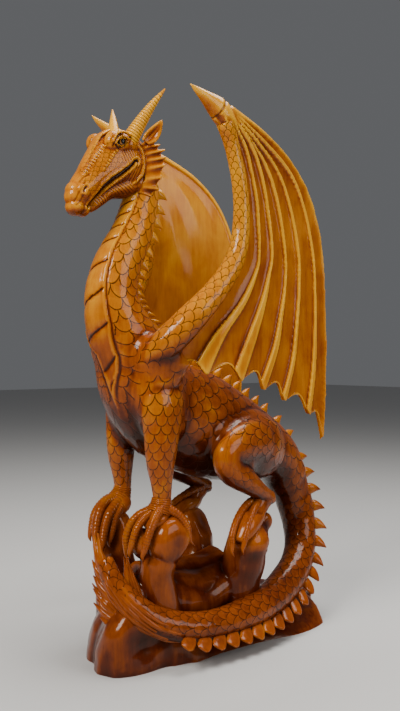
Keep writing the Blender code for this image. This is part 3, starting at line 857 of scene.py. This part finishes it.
head = {
    "skull": [(66, 0, 478, 17, 12), (86, 0, 487, 26, 18.5), (106, 0, 489, 30, 20),
              (122, 0, 479, 25, 18), (137, 0, 466, 18.5, 15), (149, 0, 454, 15, 12.5),
              (157, 0, 446, 11, 10), (160, 0, 441, 5, 5)],
    "jaw": [(80, 0, 472, 12, 16), (100, 0, 466, 12, 15), (118, 0, 459, 8.5, 12.5),
            (129, 0, 450, 7, 10), (137, 0, 442.5, 5.6, 7.6), (141.5, 0, 438, 3.6, 5)],
    "mouth": [(95.9, 487.2), (96.3, 489.6), (99.3, 488.1), (103, 483.4), (113.1, 474.5),
              (121.5, 468.6), (130.4, 460.3), (136.3, 452.3), (142, 445.6), (146, 440)],
    "lip": [(145, 441), (147.5, 436.6), (151.5, 434.2), (156, 433.4)],
    "eyeLines": [[(124.5, 499.5), (123.4, 505), (119.8, 510.9), (114.6, 511.4), (109, 509.6),
                  (104, 510.2)], [(122.4, 501), (118.6, 498.2), (113.4, 499.8), (109.4, 504.6)]],
    "noseTop": [(118.6, 0, 518, 2.2, 6.2), (129.6, 0, 510.6, 2.1, 6.6), (137.6, 0, 497.6, 1.9, 6.4),
                (146.1, 0, 483.2, 1.8, 6), (152.3, 0, 472.1, 1.5, 4.8)],
    # width of each row of beads, and its line
    "beads": [(1.55, ((129.3, 501), (133.6, 494.9), (139.8, 486.5), (145.6, 478.4), (150.5, 471))),
              (1.3, ((118.3, 497), (122.9, 491.4), (128.1, 483), (133, 476)))],
    "beadPitch": 3.3,
    "ropes": {
        "fold": (24, [(124, 19.5, 503, 1.2), (122.5, 21.4, 509.4, 1.4), (117.2, 22.2, 513, 1.6),
                      (111.6, 22, 513.2, 1.5), (104.5, 21, 510.8, 1.0)]),
        "lidUp": (24, [(123, 21, 501.8, 0.8), (121, 22.9, 505.8, 1.2), (117, 23.9, 507.9, 1.5),
                       (112, 23.2, 508, 1.3), (105.2, 20, 508.8, 0.8)]),
        "lidLow": (24, [(123, 21, 501.8, 0.7), (120.6, 22.4, 499.9, 0.9), (116.4, 22.9, 499.8, 1.0),
                        (111.6, 22, 502.8, 0.9), (105.2, 20, 508.8, 0.6)]),
        "cheekBand": (30, [(96, 18.4, 505, 1.4), (90.4, 19, 498.6, 1.9), (88.4, 18.6, 487.5, 2),
                           (90, 17.4, 476, 1.9), (97.5, 15.2, 467, 1.2)])},
    # brow, socket, crown and nostril wing; the far brow bulges past the outline
    "lumps": [(114.5, 14.2, 504.5, 12.5, 7.8, 9.6, -25), (121, 12.5, 505, 8.5, 7.5, 11, -15),
              (103, 11, 505, 15, 9.6, 11.5, 0), (151, 8, 454, 7.5, 5.2, 8.5, 30)],
    "farBrow": (121, -17.5, 508.5, 9.5, 9, 10),
    "muzzle": [(156, 455, 9), (151, 462, 8), (150, 446, 9), (155.5, 440, 9.2), (148, 438.2, 7.6)],
    "nostril": [(150.4, 457.8), (152.4, 455.8), (153.2, 453.2)],
    "curls": [[(160.5, 444), (158, 451), (155, 456.5), (151.5, 462)],
              [(159.5, 440), (155.5, 444), (153.5, 449.5)],
              [(156, 462), (152.5, 466.5), (147, 470)]],
    # patches of carved strokes: centre, half size, turn, pitch
    "strokes": [((106, 492), (11, 8), -28, 2.9), ((112, 462), (17, 6.5), 118, 2.7),
                ((131, 448), (11, 5), 128, 2.7), ((99, 478), (12, 14), 20, 2.9)],
    "eye": (115.8, 19.0, 504.0, 4.9),
    "frillIn": [(92, 18, 506), (89.6, 18.5, 495), (86.8, 18.5, 485.2), (86, 17.5, 474),
                (88, 15.5, 465), (91, 12.5, 459)],
    "frillOut": [(80, 26, 508.5), (72, 27.5, 502.5), (68.6, 28, 493), (70.4, 27.5, 484),
                 (72.4, 24.5, 472), (73.5, 19.5, 462), (78.5, 14.5, 455.5)],
    "pleats": 7.6, "earBase": (88.6, 21.4, 507.6), "earTip": (74.8, 30, 530),
    "earAcross": (-0.80, 0.24, -0.55), "earSkin": 0.0021, "frillSkin": 0.0024,
    "scaleAcross": 5.4, "scaleAlong": 4.2, "scaleLean": (0.60, 0.80), "grain": 0.00078}


# a leaf drawn on a grid is given its thickness
def thicken(bm, corners, thickness):
    faces = list({f for v in corners for f in v.link_faces})
    bm.normal_update()
    bmesh.ops.solidify(bm, geom=faces, thickness=thickness)


def makeEar(bm, s):
    base, tip, across = (Vector(head[name]) for name in ("earBase", "earTip", "earAcross"))
    cup = (tip - base).cross(across).normalized()
    if cup.y < 0:
        cup = -cup
    leaf = bmesh.ops.create_grid(bm, x_segments=26, y_segments=16, size=1)["verts"]
    for vert in leaf:
        t = (vert.co.x + 1) / 2
        w = vert.co.y
        wide = 6.9 * math.sin(math.pi * min(1, 0.16 + 0.84 * t ** 0.85)) ** 0.75 + 0.3
        spot = base.lerp(tip, t) + across * (w * wide + 1.6 * math.sin(math.pi * t))
        rib = 0.75 * math.cos(3.2 * math.pi * w) * (1 - w ** 4)
        rib *= math.sin(math.pi * min(1, t + 0.1))
        spot = spot - cup * (3.4 * (1 - w * w) * math.sin(math.pi * min(1, t + 0.12)) - 1.2 - rib)
        vert.co = put(*sided(tuple(spot), s))
    thicken(bm, leaf, head["earSkin"])


def makeFrill(bm, s):
    fan = bmesh.ops.create_grid(bm, x_segments=96, y_segments=12, size=1)["verts"]
    for vert in fan:
        t = (vert.co.x + 1) / 2
        w = (vert.co.y + 1) / 2
        beat = math.pi * (head["pleats"] * t ** 0.88 + 0.30 * math.sin(5.3 * t))
        wave = 1 - 2 * abs(math.sin(beat)) ** 1.3
        inner = Vector(smoothAt(head["frillIn"], t))
        outer = Vector(smoothAt(head["frillOut"], t))
        spot = inner.lerp(outer, w * (1 + (0.05 + 0.05 * math.sin(9 * t)) * wave))
        spot.y += wave * 2.1 * w ** 0.7 * (1 - 0.35 * t) + 3.0 * w * (1 - w)
        vert.co = put(*sided(tuple(spot), s))
    thicken(bm, fan, head["frillSkin"])


def makeHead():
    bm = bmesh.new()
    limb(bm, head["skull"], 34, 32)
    limb(bm, head["jaw"], 24, 24)
    for s in (1, -1):
        *brow, nostrilWing = head["lumps"]
        for f, l, *rest in brow:
            lump(bm, f, l * s, *rest)
        if s < 0:
            lump(bm, *head["farBrow"])
        f, l, *rest = nostrilWing
        lump(bm, f, l * s, *rest)
        for rings, rope in head["ropes"].values():
            limb(bm, mirrored(rope, s), rings, 10)
        makeEar(bm, s)
        makeFrill(bm, s)
    limb(bm, head["noseTop"], 30, 24)
    for f, z, r in head["muzzle"]:
        lump(bm, f, 0, z, r, r * 1.1, r)
    piece = fuse(bm, "dragon_head", head["grain"], 2)
    mesh = piece.data
    points = readVectors(mesh, "co")
    normals = readVectors(mesh, "normal")
    unit = layout["unit"]
    flat = np.stack([-(points[:, 1] - layout["shift"][1]), points[:, 2]], axis=1) / unit
    left = (points[:, 0] - layout["shift"][0]) / unit
    outward = ease(np.abs(left), 1.0, 4.0) * ease(np.abs(normals[:, 0]), 0.12, 0.4)
    move = np.zeros(len(points))
    cutShade = np.zeros(len(points))

    # one carved detail: how far the wood rises, how much painted shade its cut takes
    def carve(rise, dark):
        nonlocal move, cutShade
        move = move + rise
        cutShade = np.maximum(cutShade, dark)

    # the mouth, open a little, with a lip above and below; painted shade fills the slit and the lip
    # cut
    gap, along = nearLine(flat, head["mouth"])
    slit = 1.5 * (0.40 + 0.85 * np.sin(math.pi * np.clip(along, 0, 1)) ** 0.8)
    front = ease(flat[:, 0], 142, 156)
    side = np.maximum(outward, front)
    carve(-3.4 * ease(gap, slit + 0.55, slit - 0.45) * side, ease(gap, slit + 0.7, slit) * side)
    move = move + 0.7 * bell(gap - slit - 2.0, 1.2) * side
    lip, _ = nearLine(flat, head["lip"])
    carve(-0.7 * bell(lip, 1.0) * outward * (1 - 0.6 * front),
          0.75 * bell(lip, 0.9) * outward * (1 - 0.5 * front))
    # lid cuts round the eye, with painted shade in them
    for line in head["eyeLines"]:
        lid, _ = nearLine(flat, line)
        carve(-0.8 * bell(lid, 0.7) * outward,
              0.95 * bell(lid, 0.75) * outward * ease(np.abs(left), 12, 15))
    # sunk socket behind the eyeball, with a ring of painted shade round the ball
    f, _, z, r = head["eye"]
    eyeGap = np.hypot(flat[:, 0] - f, flat[:, 1] - z)
    atEye = ease(np.abs(left), 17, 19)
    carve(-2.4 * (ease(eyeGap, r + 0.4, r - 0.8) * outward * atEye),
          bell(eyeGap - r, 0.6) * 0.5 * outward * atEye)
    # the nostril pit, with painted shade in it
    nose, _ = nearLine(flat, head["nostril"])
    carve((-2.0 * bell(nose, 1.0) + 0.35 * bell(nose - 2.6, 1.1)) * outward,
          bell(nose, 0.9) * 0.9 * outward)
    # swirl cuts over the nose, with painted shade in them
    for curl in head["curls"]:
        swirl, _ = nearLine(flat, curl)
        carve(-0.9 * bell(swirl, 0.9) * outward * (1 - 0.5 * front),
              0.35 * bell(swirl, 0.8) * outward)
    # bead rows beside the nose, with painted shade between the beads
    for size, row in head["beads"]:
        gap, along = nearLine(flat, row)
        length = sum(math.dist(a, b) for a, b in zip(row, row[1:]))
        beat = np.abs(np.sin(math.pi * along * length / head["beadPitch"]))
        on = bell(gap, size) * outward
        carve(on * (1.5 * beat - 0.3), on * ease(beat, 0.35, 0.05) * 0.8)
    # carved strokes over the cheek and along the jaw, with painted shade in each cut
    stroked = np.zeros(len(points))
    for centre, size, turn, pitch in head["strokes"]:
        dx, dz = (flat - np.array(centre)).T
        on = ease(np.hypot(dx / size[0], dz / size[1]), 1.0, 0.75) * outward * (cutShade < 0.3)
        turn = math.radians(turn)
        stroke = np.abs(np.sin(math.pi * ((dx * math.cos(turn) + dz * math.sin(turn)) / pitch)))
        carve(-on * 0.6 * ease(stroke, 0.6, 0.0), on * ease(stroke, 0.5, 0.1) * 0.7)
        stroked = np.maximum(stroked, on)
    writePoints(mesh, points + normals * (move * unit)[:, None])
    # small scales over the muzzle, brow and throat
    onSkin = ease(flat[:, 0], 84, 90) * outward * ease(nose, 3.0, 6.0) * ease(flat[:, 0], 157, 151)
    onSkin *= ease(eyeGap, r + 2, r + 5) * (1 - np.clip(cutShade * 2, 0, 1)) * ease(flat[:, 1], 523, 516)
    keepField(mesh, "scaled", onSkin * 0.5 * (1 - stroked))
    keepField(mesh, "cutShade", np.clip(cutShade, 0, 1))
    paintShade(mesh, 0.0004, 0.003, (6, 50))
    a, b = head["scaleLean"]
    keepFlatPattern(mesh, "pattern", (a * flat[:, 0] + b * flat[:, 1]) / head["scaleAcross"],
                    (-b * flat[:, 0] + a * flat[:, 1]) / head["scaleAlong"])
    ownPiece(piece, makeCarved("headWood", scaled=True, cut=0.16, relief=0.0004))


horns = {
    "near": [(102.5, 11.5, 506, 8.4), (96.9, 16.2, 518.3, 7.3), (89.6, 20.6, 532.3, 5.7),
             (81.2, 25.2, 546.6, 3.7), (70.5, 30, 561.8, 0.8)],
    "far": [(105, -12, 502, 9), (99, -17.5, 516, 7), (95.4, -23.5, 530, 5), (92.3, -29, 541.5, 3),
            (89.2, -34.6, 552, 0.6)],
    "rings": 23, "ringBulge": 0.14, "ringCut": 0.09}


# the near horn is ringed to just below its tip, with painted shade in the grooves between rings;
# the far one plain
def makeHorns():
    bm = withCutShade()

    def beat(t):
        return abs(math.sin(math.pi * (horns["rings"] * t ** 0.92)))

    def ringed(t):
        return min(1, max(0, (0.97 - t) / 0.08))

    limb(bm, horns["near"], 260, 28,
         girth=lambda t: 1 + ringed(t) * (horns["ringBulge"] * beat(t) ** 0.6 - horns["ringCut"]),
         tone=lambda t: ringed(t) * max(0, 1 - beat(t) / 0.5))
    limb(bm, horns["far"], 40, 24)
    assemble(bm, "dragon_horns", makeCarved("hornWood", pale=0.45), 0.0003, 3)


eyes = {"ring": 0.0031, "ringFrom": 0.0002, "ringTo": 0.0006, "dark": (0.005, 0.002, 0.001),
        "amber": (0.30, 0.11, 0.015),
        "polish": {"Roughness": 0.30, "Specular IOR Level": 0.1, "Coat Weight": 0.5,
                   "Coat Roughness": 0.06}}


# dark polished bead with an amber ring round the pupil
def makeEyeMaterial():
    material, tree, shader = newMaterial("eyeWood")
    where = splitOf(tree, tree.nodes.new("ShaderNodeTexCoord").outputs["Object"])
    centre = put(*head["eye"][:3])
    dy = mathOf(tree, "SUBTRACT", where[1], centre.y)
    dz = mathOf(tree, "SUBTRACT", where[2], centre.z)
    away = mathOf(tree, "SQRT",
                  mathOf(tree, "MULTIPLY_ADD", dy, dy, mathOf(tree, "MULTIPLY", dz, dz)))
    ring = mathOf(tree, "ABSOLUTE", mathOf(tree, "SUBTRACT", away, eyes["ring"]))
    amber = span(tree, ring, eyes["ringFrom"], eyes["ringTo"], 1.0, 0.0)
    tree.links.new(blendColor(tree, amber, eyes["dark"], eyes["amber"]),
                   shader.inputs["Base Color"])
    setValues(shader, eyes["polish"])
    return material


def makeEyes():
    bm = withCutShade()
    f, l, z, r = head["eye"]
    for s in (1, -1):
        lump(bm, f, l * s, z, r, r, r)
    assemble(bm, "dragon_eyes", makeEyeMaterial(), 0.001, 1)


# each foot: thickness of its toes, sides it stands on, a path for every toe
paws = {
    "near": (4.1, (1,), [
        [(86, 43, 153), (80, 49, 149.5), (72, 54, 143.5), (66, 57.5, 134),
         (63.5, 58, 126)],
        [(90, 42, 152), (95, 36, 148), (102, 29, 143), (108, 24, 134), (111, 21, 122),
         (110, 20, 112)],
        [(90, 44, 151), (97, 41, 146), (105, 39, 140), (111, 37, 130), (114, 35, 118)],
        [(89, 47, 151), (97, 50, 145), (103, 52, 137), (107, 51, 126), (109, 49, 116)]]),
    "far": (4.8, (1,), [
        [(74, -41, 152), (88, -38, 149), (101, -34, 146), (112, -28, 133), (116, -25, 120)],
        [(73, -39, 150), (88, -30, 144), (101, -24, 136), (109, -20, 123), (112, -18, 112)],
        [(72, -37, 148), (85, -28, 141), (95, -23, 131), (101, -20, 117)],
        [(73, -45, 150), (86, -52, 145), (96, -56, 133), (100, -57, 117)]]),
    "hind": (3.7, (1, -1), [
        [(-56, 51, 146), (-42, 55, 138), (-29, 61, 127), (-20, 65, 114)],
        [(-52, 50, 150), (-35, 54, 145), (-18, 61, 133), (-7, 66, 119), (-3, 67, 110)],
        [(-44, 48, 149), (-24, 49, 143), (-6, 54, 132), (6, 58, 117), (7, 59, 108)]]),
    # share of the toe's thickness at the knuckle and its loss toward the claw
    "knuckle": 1.25, "slimmer": 0.4, "toeRings": 17, "cuffRings": 7,
    # the claw: distance along it, share of the toe's thickness
    "claw": [(-3, 0.86), (3, 0.74), (9, 0.42), (14, 0)], "clawTip": 0.4, "hook": 3,
    "webs": [(90, 41, 140.5, 14, 13, 8, 30), (82, -38, 141, 17, 14, 11, 20)],
    "cuffs": [[(84, 42, 160, 9.6, 9.4), (85, 42, 153, 11, 10.5), (88, 42, 146, 13, 12)],
              [(71, -42, 160, 9.4, 9.4), (73, -42, 153, 10.5, 10.5), (78, -41, 146, 12.5, 12)]]}


def makePaws():
    bm = withCutShade()

    # ringed toes and cuffs, with painted shade in the grooves between rings
    def ringed(stations, count, depth):
        def beat(t):
            return abs(math.sin(math.pi * count * t))
        limb(bm, stations, 84, 14, girth=lambda t: 1 - depth + depth * 1.3 * beat(t) ** 0.55,
             tone=lambda t: 0.55 * max(0, 1 - beat(t) / 0.4))

    for name in ("near", "far", "hind"):
        size, sides, toes = paws[name]
        for s in sides:
            for path in toes:
                last = len(path) - 1
                toe = [p + (size * (paws["knuckle"] - paws["slimmer"] * k / last),)
                       for k, p in enumerate(path)]
                ringed(mirrored(toe, s), paws["toeRings"], 0.13)
                end = Vector(path[-1])
                way = (end - Vector(path[-2])).normalized()
                claw = [(*(end + way * d), size * share or paws["clawTip"])
                        for d, share in paws["claw"]]
                claw[-1] = (claw[-1][0] - paws["hook"], *claw[-1][1:])
                limb(bm, mirrored(claw, s), 16, 14)
    # the webs of the feet between wrist and toes
    for web in paws["webs"]:
        lump(bm, *web)
    for cuff in paws["cuffs"]:
        ringed(cuff, paws["cuffRings"], 0.07)
    assemble(bm, "dragon_paws", makeCarved("pawWood", pale=-0.06), 0.0004, 3)


# stations at an even spacing along a path, each with the way onward
def walkPath(stations, spacing, start, stop):
    last = smoothAt(stations, start)
    gone = spacing
    count = 400
    for k in range(count + 1):
        t = start + (stop - start) * k / count
        here = smoothAt(stations, t)
        gone += math.dist(here[:3], last[:3])
        last = here
        if gone >= spacing:
            ahead = smoothAt(stations, min(t + 0.01, 1))
            behind = smoothAt(stations, max(t - 0.01, 0))
            yield here, Vector([a - b for a, b in zip(ahead[:3], behind[:3])]).normalized()
            gone = 0.0


# widths say share of the length, share of the width; rows say stations, spacing, from, to
spines = {"widths": [(0, 1.0), (0.3, 1.0), (0.62, 0.66), (0.85, 0.3), (1.0, 0.05)],
          "neck": (13.5, 0.03, 0.40),
          "rows": [("neck", 16.4, 0.44, 0.93), ("tail", 16.4, 0.02, 0.73)],
          "middle": (-10, 0, 150), "sunk": 3.5, "neckSunk": 4, "neckLean": 0.42, "tailLean": 0.85,
          "leanFrom": 178, "leanOver": 70, "flatFrom": 70, "flatOver": 35,
          "sharp": (16, 6.8, 4.4), "flat": (15, 7.0, 1.5), "neckLeaf": (13, 5.5, 3.2)}


def makeSpines():
    bm = withCutShade()

    def leaf(root, out, way, length, wide, thick, blunt=0.0):
        path = []
        for t, w in spines["widths"]:
            w = w + (1.0 - w) * blunt * (0.72 if t == 1.0 else 1.0)
            spot = root + out * (length * t) + way * (length * (0.34 + 0.4 * blunt) * t * t)
            path.append((*spot, wide * w, thick * (0.15 + 0.85 * w)))
        limb(bm, path, 12, 12, tuple((put(*out.cross(way)) - put(0, 0, 0)).normalized()))

    for here, way in walkPath(body["neck"], *spines["neck"]):
        out = Vector((-1, 0, 0))
        out = (out - way * out.dot(way)).normalized()
        root = Vector((here[0], 3, here[2])) + out * (here[3] - spines["neckSunk"])
        leaf(root, (out + Vector((0, spines["neckLean"], 0))).normalized(), way,
             *spines["neckLeaf"])
    for name, *spaced in spines["rows"]:
        onTail = name == "tail"
        for here, way in walkPath(body[name], *spaced):
            spot = Vector(here[:3])
            out = spot - Vector(spines["middle"]) if onTail else Vector((0, 0, 1))
            out = (out - way * out.dot(way)).normalized()
            if onTail:
                low = min(1, max(0, (spines["leanFrom"] - here[2]) / spines["leanOver"]))
                out = (out + Vector((0, spines["tailLean"], 0)) * low).normalized()
            # below the tail the spines turn into flat blunt leaves
            flat = min(1, max(0, (spines["flatFrom"] - here[2]) / spines["flatOver"])) * onTail
            size = [a + (b - a) * flat for a, b in zip(spines["sharp"], spines["flat"])]
            leaf(spot + out * (here[3] - spines["sunk"]), out, way, *size, flat)
    # the spines are made paler: painted highlight
    assemble(bm, "dragon_spines", makeCarved("spineWood", pale=0.22), 0.0008, 2)


plume = {"locks": [
    [(123, 32, 74), (134, 25, 92), (138.5, 17, 108), (138, 12, 124)],
    [(125, 29, 76), (135.5, 21, 95), (139, 13, 110), (139, 8, 125)],
    [(126, 29, 69), (132.5, 23, 84), (138, 15, 95), (139, 8, 106)],
    [(126, 29, 62), (132.5, 23, 73), (136.5, 14, 81), (140, 8, 92)],
    [(128, 31, 56), (134, 25, 63), (136.5, 17, 69), (141, 10, 80)],
    [(129, 33, 51), (133, 27, 53.5), (137, 21, 58), (140, 12, 66)],
    [(129, 35, 46), (132, 29, 46.5), (135, 22, 48.5), (138.5, 16, 54)],
    [(116.7, 36, 67), (118.8, 33, 84), (118, 31, 97), (118.6, 30, 106)],
    [(111, 40, 60), (113.5, 38, 77), (116.7, 35, 91.5), (118, 33, 103)],
    [(106, 43, 55), (109, 40, 72), (113.5, 37, 87.5), (115.6, 34, 97)]],
    "thick": [5.4] * 7 + [2.6] * 3, "taper": (0.62, 0.66, 0.48, 0.10), "spread": 0.62,
    "fork": 2.5, "tailStrands": 5, "tailThick": 3.0}


# flowing locks that end the tail, each of three strands
def makePlume():
    bm = withCutShade()
    for number, (path, thick) in enumerate(zip(plume["locks"], plume["thick"])):
        for strand in range(3):
            lift = (strand - 1) * thick * plume["spread"]
            curl = 1.6 * math.sin(2.3 * number + 1.7 * strand)
            rope = []
            for k, ((f, l, z), share) in enumerate(zip(path, plume["taper"])):
                t = k / (len(path) - 1)
                fork = plume["fork"] * (strand - 1) if t == 1 else 0
                rope.append((f - lift * 0.45 * (1 - 0.4 * t), l + curl * t * 1.5,
                             z + lift * (1 - 0.5 * t) + fork, thick * share, thick * share * 1.25))
            limb(bm, rope, 26, 12)
    # strands run along the underside of the tail into the plume
    middle = spines["middle"]
    for strand in range(plume["tailStrands"]):
        lean = 0.1 + 0.36 * strand
        rope = []
        for k in range(9):
            t = 0.70 + 0.035 * strand % 0.08 + 0.028 * k
            here = smoothAt(body["tail"], min(t, 1))
            out = Vector((here[0] - middle[0], 0, here[2] - middle[2])).normalized()
            out = out * math.cos(lean) + Vector((0, math.sin(lean), 0))
            spot = Vector(here[:3]) + out * (here[3] - 0.6 + 0.8 * math.sin(2.1 * k + strand))
            rope.append((*spot, plume["tailThick"] * math.sin(math.pi * (k + 0.6) / 9.2) ** 0.6))
        limb(bm, rope, 60, 10)
    assemble(bm, "tail_plume", makeCarved("plumeWood", pale=0.08), 0.0006, 3)


rock = {
    "grain": 0.00185,
    # the base: stations as shares of half its length, across, up, deep, share of its width
    "half": 157, "wide": 76, "end": 12,
    "base": [(-0.6, 0, 2, 28, 0.97), (-0.2, -2, 2, 29, 0.86), (0.2, -2, 2, 32, 0.84),
             (0.46, 3, 4, 46, 0.82), (0.64, 15, 6, 60, 0.64), (0.76, 27, 6, 60, 0.42),
             (0.87, 34, 5, 48, 0.26)],
    # the columns and masses between them: rings, path
    "columns": [(16, [(80, 40, 112, 15), (86, 36, 90, 17), (84, 32, 66, 22), (80, 26, 34, 30)]),
                (18, [(86, -38, 132, 12, 12), (85, -38, 112, 19, 19), (84, -36, 88, 20, 21),
                      (84, -32, 62, 22, 24), (82, -26, 32, 28, 30)])],
    "hindColumn": [(-18, 52, 120, 10, 12), (-22, 50, 110, 22, 20), (-26, 45, 90, 23, 21),
                   (-24, 36, 66, 23, 23), (-20, 26, 34, 30, 28)],
    "spur": [(-34, 46, 100, 12), (-43, 48, 95, 8), (-50.5, 50, 90.5, 2.5)],
    "ridge": [(76, 10, 40, 22, 36), (40, 8, 42, 20, 34), (4, 6, 40, 20, 34), (-30, 4, 46, 24, 36),
              (-70, 0, 30, 16, 30)],
    # the saddle between the columns: a crest in front, then two masses toward the back
    "saddle": [(24, [(92, 34, 66, 22, 15), (72, 33, 58, 21, 16), (50, 32, 49, 20, 16),
                     (28, 31, 43, 19, 16), (8, 31, 48, 19, 16), (-12, 33, 58, 18, 14)]),
               (20, [(88, 6, 70, 22), (50, 4, 66, 22), (16, 2, 64, 22), (-24, 2, 70, 22)]),
               (20, [(90, 22, 68, 22, 20), (54, 20, 60, 21, 22), (20, 18, 56, 21, 22),
                     (-22, 20, 62, 21, 20)])],
    "topLumps": [(77, 42, 119, 23, 21.5, 22, 0, 4), (98, 30, 117, 14, 13, 16, 0, 4)],
    "hindLumps": [(-48, 50, 121.5, 9, 9, 10, 0, 4), (-39, 49, 112, 12, 12, 14, 0, 4)],
    "lowLumps": [(30, 22, 52, 16, 14, 12, 0, 3), (-4, 26, 54, 14, 13, 14, 0, 3),
                 (104, 18, 62, 22, 26, 24, 0, 3)],
    "facet": 0.026, "facetFlat": 0.8, "facetMiddle": 0.45, "facetLow": 0.0030,
    "facetHigh": 0.0070, "wave": 0.045, "waveHeight": 0.0012,
    "dent": (112, 62, 26), "dentSize": (0.036, 0.044, 0.026), "dentDepth": 0.0085}


def makeRock():
    bm = bmesh.new()
    half, wide, end = rock["half"], rock["wide"], rock["end"]
    base = [(-half + 2, 14, 6, 8, wide * 0.3), (-half + end, 8, 4, 22, wide * 0.68)]
    base += [(half * share, l, z, deep, wide * part) for share, l, z, deep, part in rock["base"]]
    limb(bm, base + [(half - end, 37, 4, 24, wide * 0.13)], 40, 40)
    for knob in rock["topLumps"]:
        lump(bm, *knob)
    for rings, path in rock["columns"]:
        limb(bm, path, rings, 24)
    for s in (1, -1):
        limb(bm, mirrored(rock["hindColumn"], s), 18, 24)
    limb(bm, rock["spur"], 12, 20)
    for knob in rock["hindLumps"]:
        lump(bm, *knob)
    limb(bm, rock["ridge"], 20, 24)
    for knob in rock["lowLumps"]:
        lump(bm, *knob)
    for rings, path in rock["saddle"]:
        limb(bm, path, rings, 24)
    piece = fuse(bm, "rock_base", rock["grain"], 4)
    mesh = piece.data
    points = readVectors(mesh, "co")
    normals = readVectors(mesh, "normal")
    # scooped facets left by the gouge, softened by polishing
    squat = Vector((1, 1, rock["facetFlat"]))
    scoop = np.array([noise.voronoi(Vector(p) * squat / rock["facet"])[0][0] for p in points])
    scoop = neighbourMean(mesh, scoop, 6)
    wave = np.array([noise.noise(Vector(p) / rock["wave"]) for p in points])
    high = points[:, 2]
    move = (np.clip(scoop, 0, 0.8) - rock["facetMiddle"]) * (
        rock["facetLow"] + rock["facetHigh"] * ease(high, 0.078, 0.100))
    move = (move + wave * rock["waveHeight"]) * ease(high, 0.004, 0.016)
    # one broad smooth hollow on the front of the base
    dent = (points - np.array(put(*rock["dent"]))) / np.array(rock["dentSize"])
    move -= rock["dentDepth"] * ease(np.linalg.norm(dent, axis=1), 1.0, 0.0)
    writePoints(mesh, points + normals * move[:, None])
    # the underside is cut flat
    trim = bmesh.new()
    trim.from_mesh(mesh)
    bmesh.ops.bisect_plane(trim, geom=trim.verts[:] + trim.edges[:] + trim.faces[:],
                           plane_co=(0, 0, 0), plane_no=(0, 0, 1), clear_inner=True)
    bmesh.ops.holes_fill(trim, edges=[e for e in trim.edges if e.is_boundary], sides=0)
    trim.to_mesh(mesh)
    trim.free()
    paintShade(mesh, 0.0012, 0.008, (10, 70))
    mesh.shade_smooth()
    ownPiece(piece, makeCarved("rockWood", pale=0.02))


makeBody()
# the wings take their web field: a paler web, painted highlight on the ridges, painted shade in the
# panel hollows
wingWood = makeCarved("wingWood", pale=0.85, palePart="web")
for wingName, sideOf in (("dragon_wing_left", 1), ("dragon_wing_right", -1)):
    ownPiece(makeWing(wingName, sideOf), wingWood)
makeHead()
makeHorns()
makeEyes()
makePaws()
makeSpines()
makePlume()
makeRock()

# lamps: key high on the left of the picture, fill low on its right, one above and behind;
# each says place, size, power, tint
studio = {"floor": {"Base Color": (0.56, 0.55, 0.535, 1), "Roughness": 0.7}, "floorHalf": 6,
          "sky": {"Color": (0.80, 0.82, 0.86, 1), "Strength": 0.15}, "aim": (0, 0, 0.28),
          "lamps": {"key": ((0.30, -1.10, 1.10), 0.55, 22, (1, 0.97, 0.92)),
                    "fill": ((1.45, 0.45, 0.85), 0.8, 9, (1, 0.98, 0.96)),
                    "top": ((0.05, 0.32, 1.45), 0.9, 23, (1, 0.99, 0.97))},
          "eye": (0.6971, -0.5849, 0.298), "target": (0, 0, 0.298), "sensor": 36, "lens": 43.04,
          "clip": (0.01, 50)}


def aimAt(thing, target):
    way = Vector(target) - thing.location
    thing.rotation_euler = way.to_track_quat("-Z", "Y").to_euler()


def makeStudio():
    bm = bmesh.new()
    bmesh.ops.create_grid(bm, x_segments=1, y_segments=1, size=studio["floorHalf"])
    floor = show("studio_floor", meshOf(bm, "studio_floor"))
    material, _, shader = newMaterial("paleFloor")
    setValues(shader, studio["floor"])
    floor.data.materials.append(material)
    world = bpy.data.worlds.new("studio")
    world.use_nodes = True
    setValues(world.node_tree.nodes["Background"], studio["sky"])
    bpy.context.scene.world = world
    for name, (place, size, power, tint) in studio["lamps"].items():
        lamp = bpy.data.lights.new(name, "AREA")
        lamp.shape = "SQUARE"
        lamp.size = size
        lamp.energy = power
        lamp.color = tint
        holder = show(name, lamp)
        holder.location = place
        aimAt(holder, studio["aim"])


def makeCamera():
    data = bpy.data.cameras.new("camera")
    data.sensor_fit = "VERTICAL"
    data.sensor_height = studio["sensor"]
    data.lens = studio["lens"]
    data.clip_start, data.clip_end = studio["clip"]
    camera = show("camera", data)
    camera.location = Vector(studio["eye"]) + Vector(layout["shift"])
    aimAt(camera, Vector(studio["target"]) + Vector(layout["shift"]))
    bpy.context.scene.camera = camera


makeStudio()
makeCamera()
print("studio done")
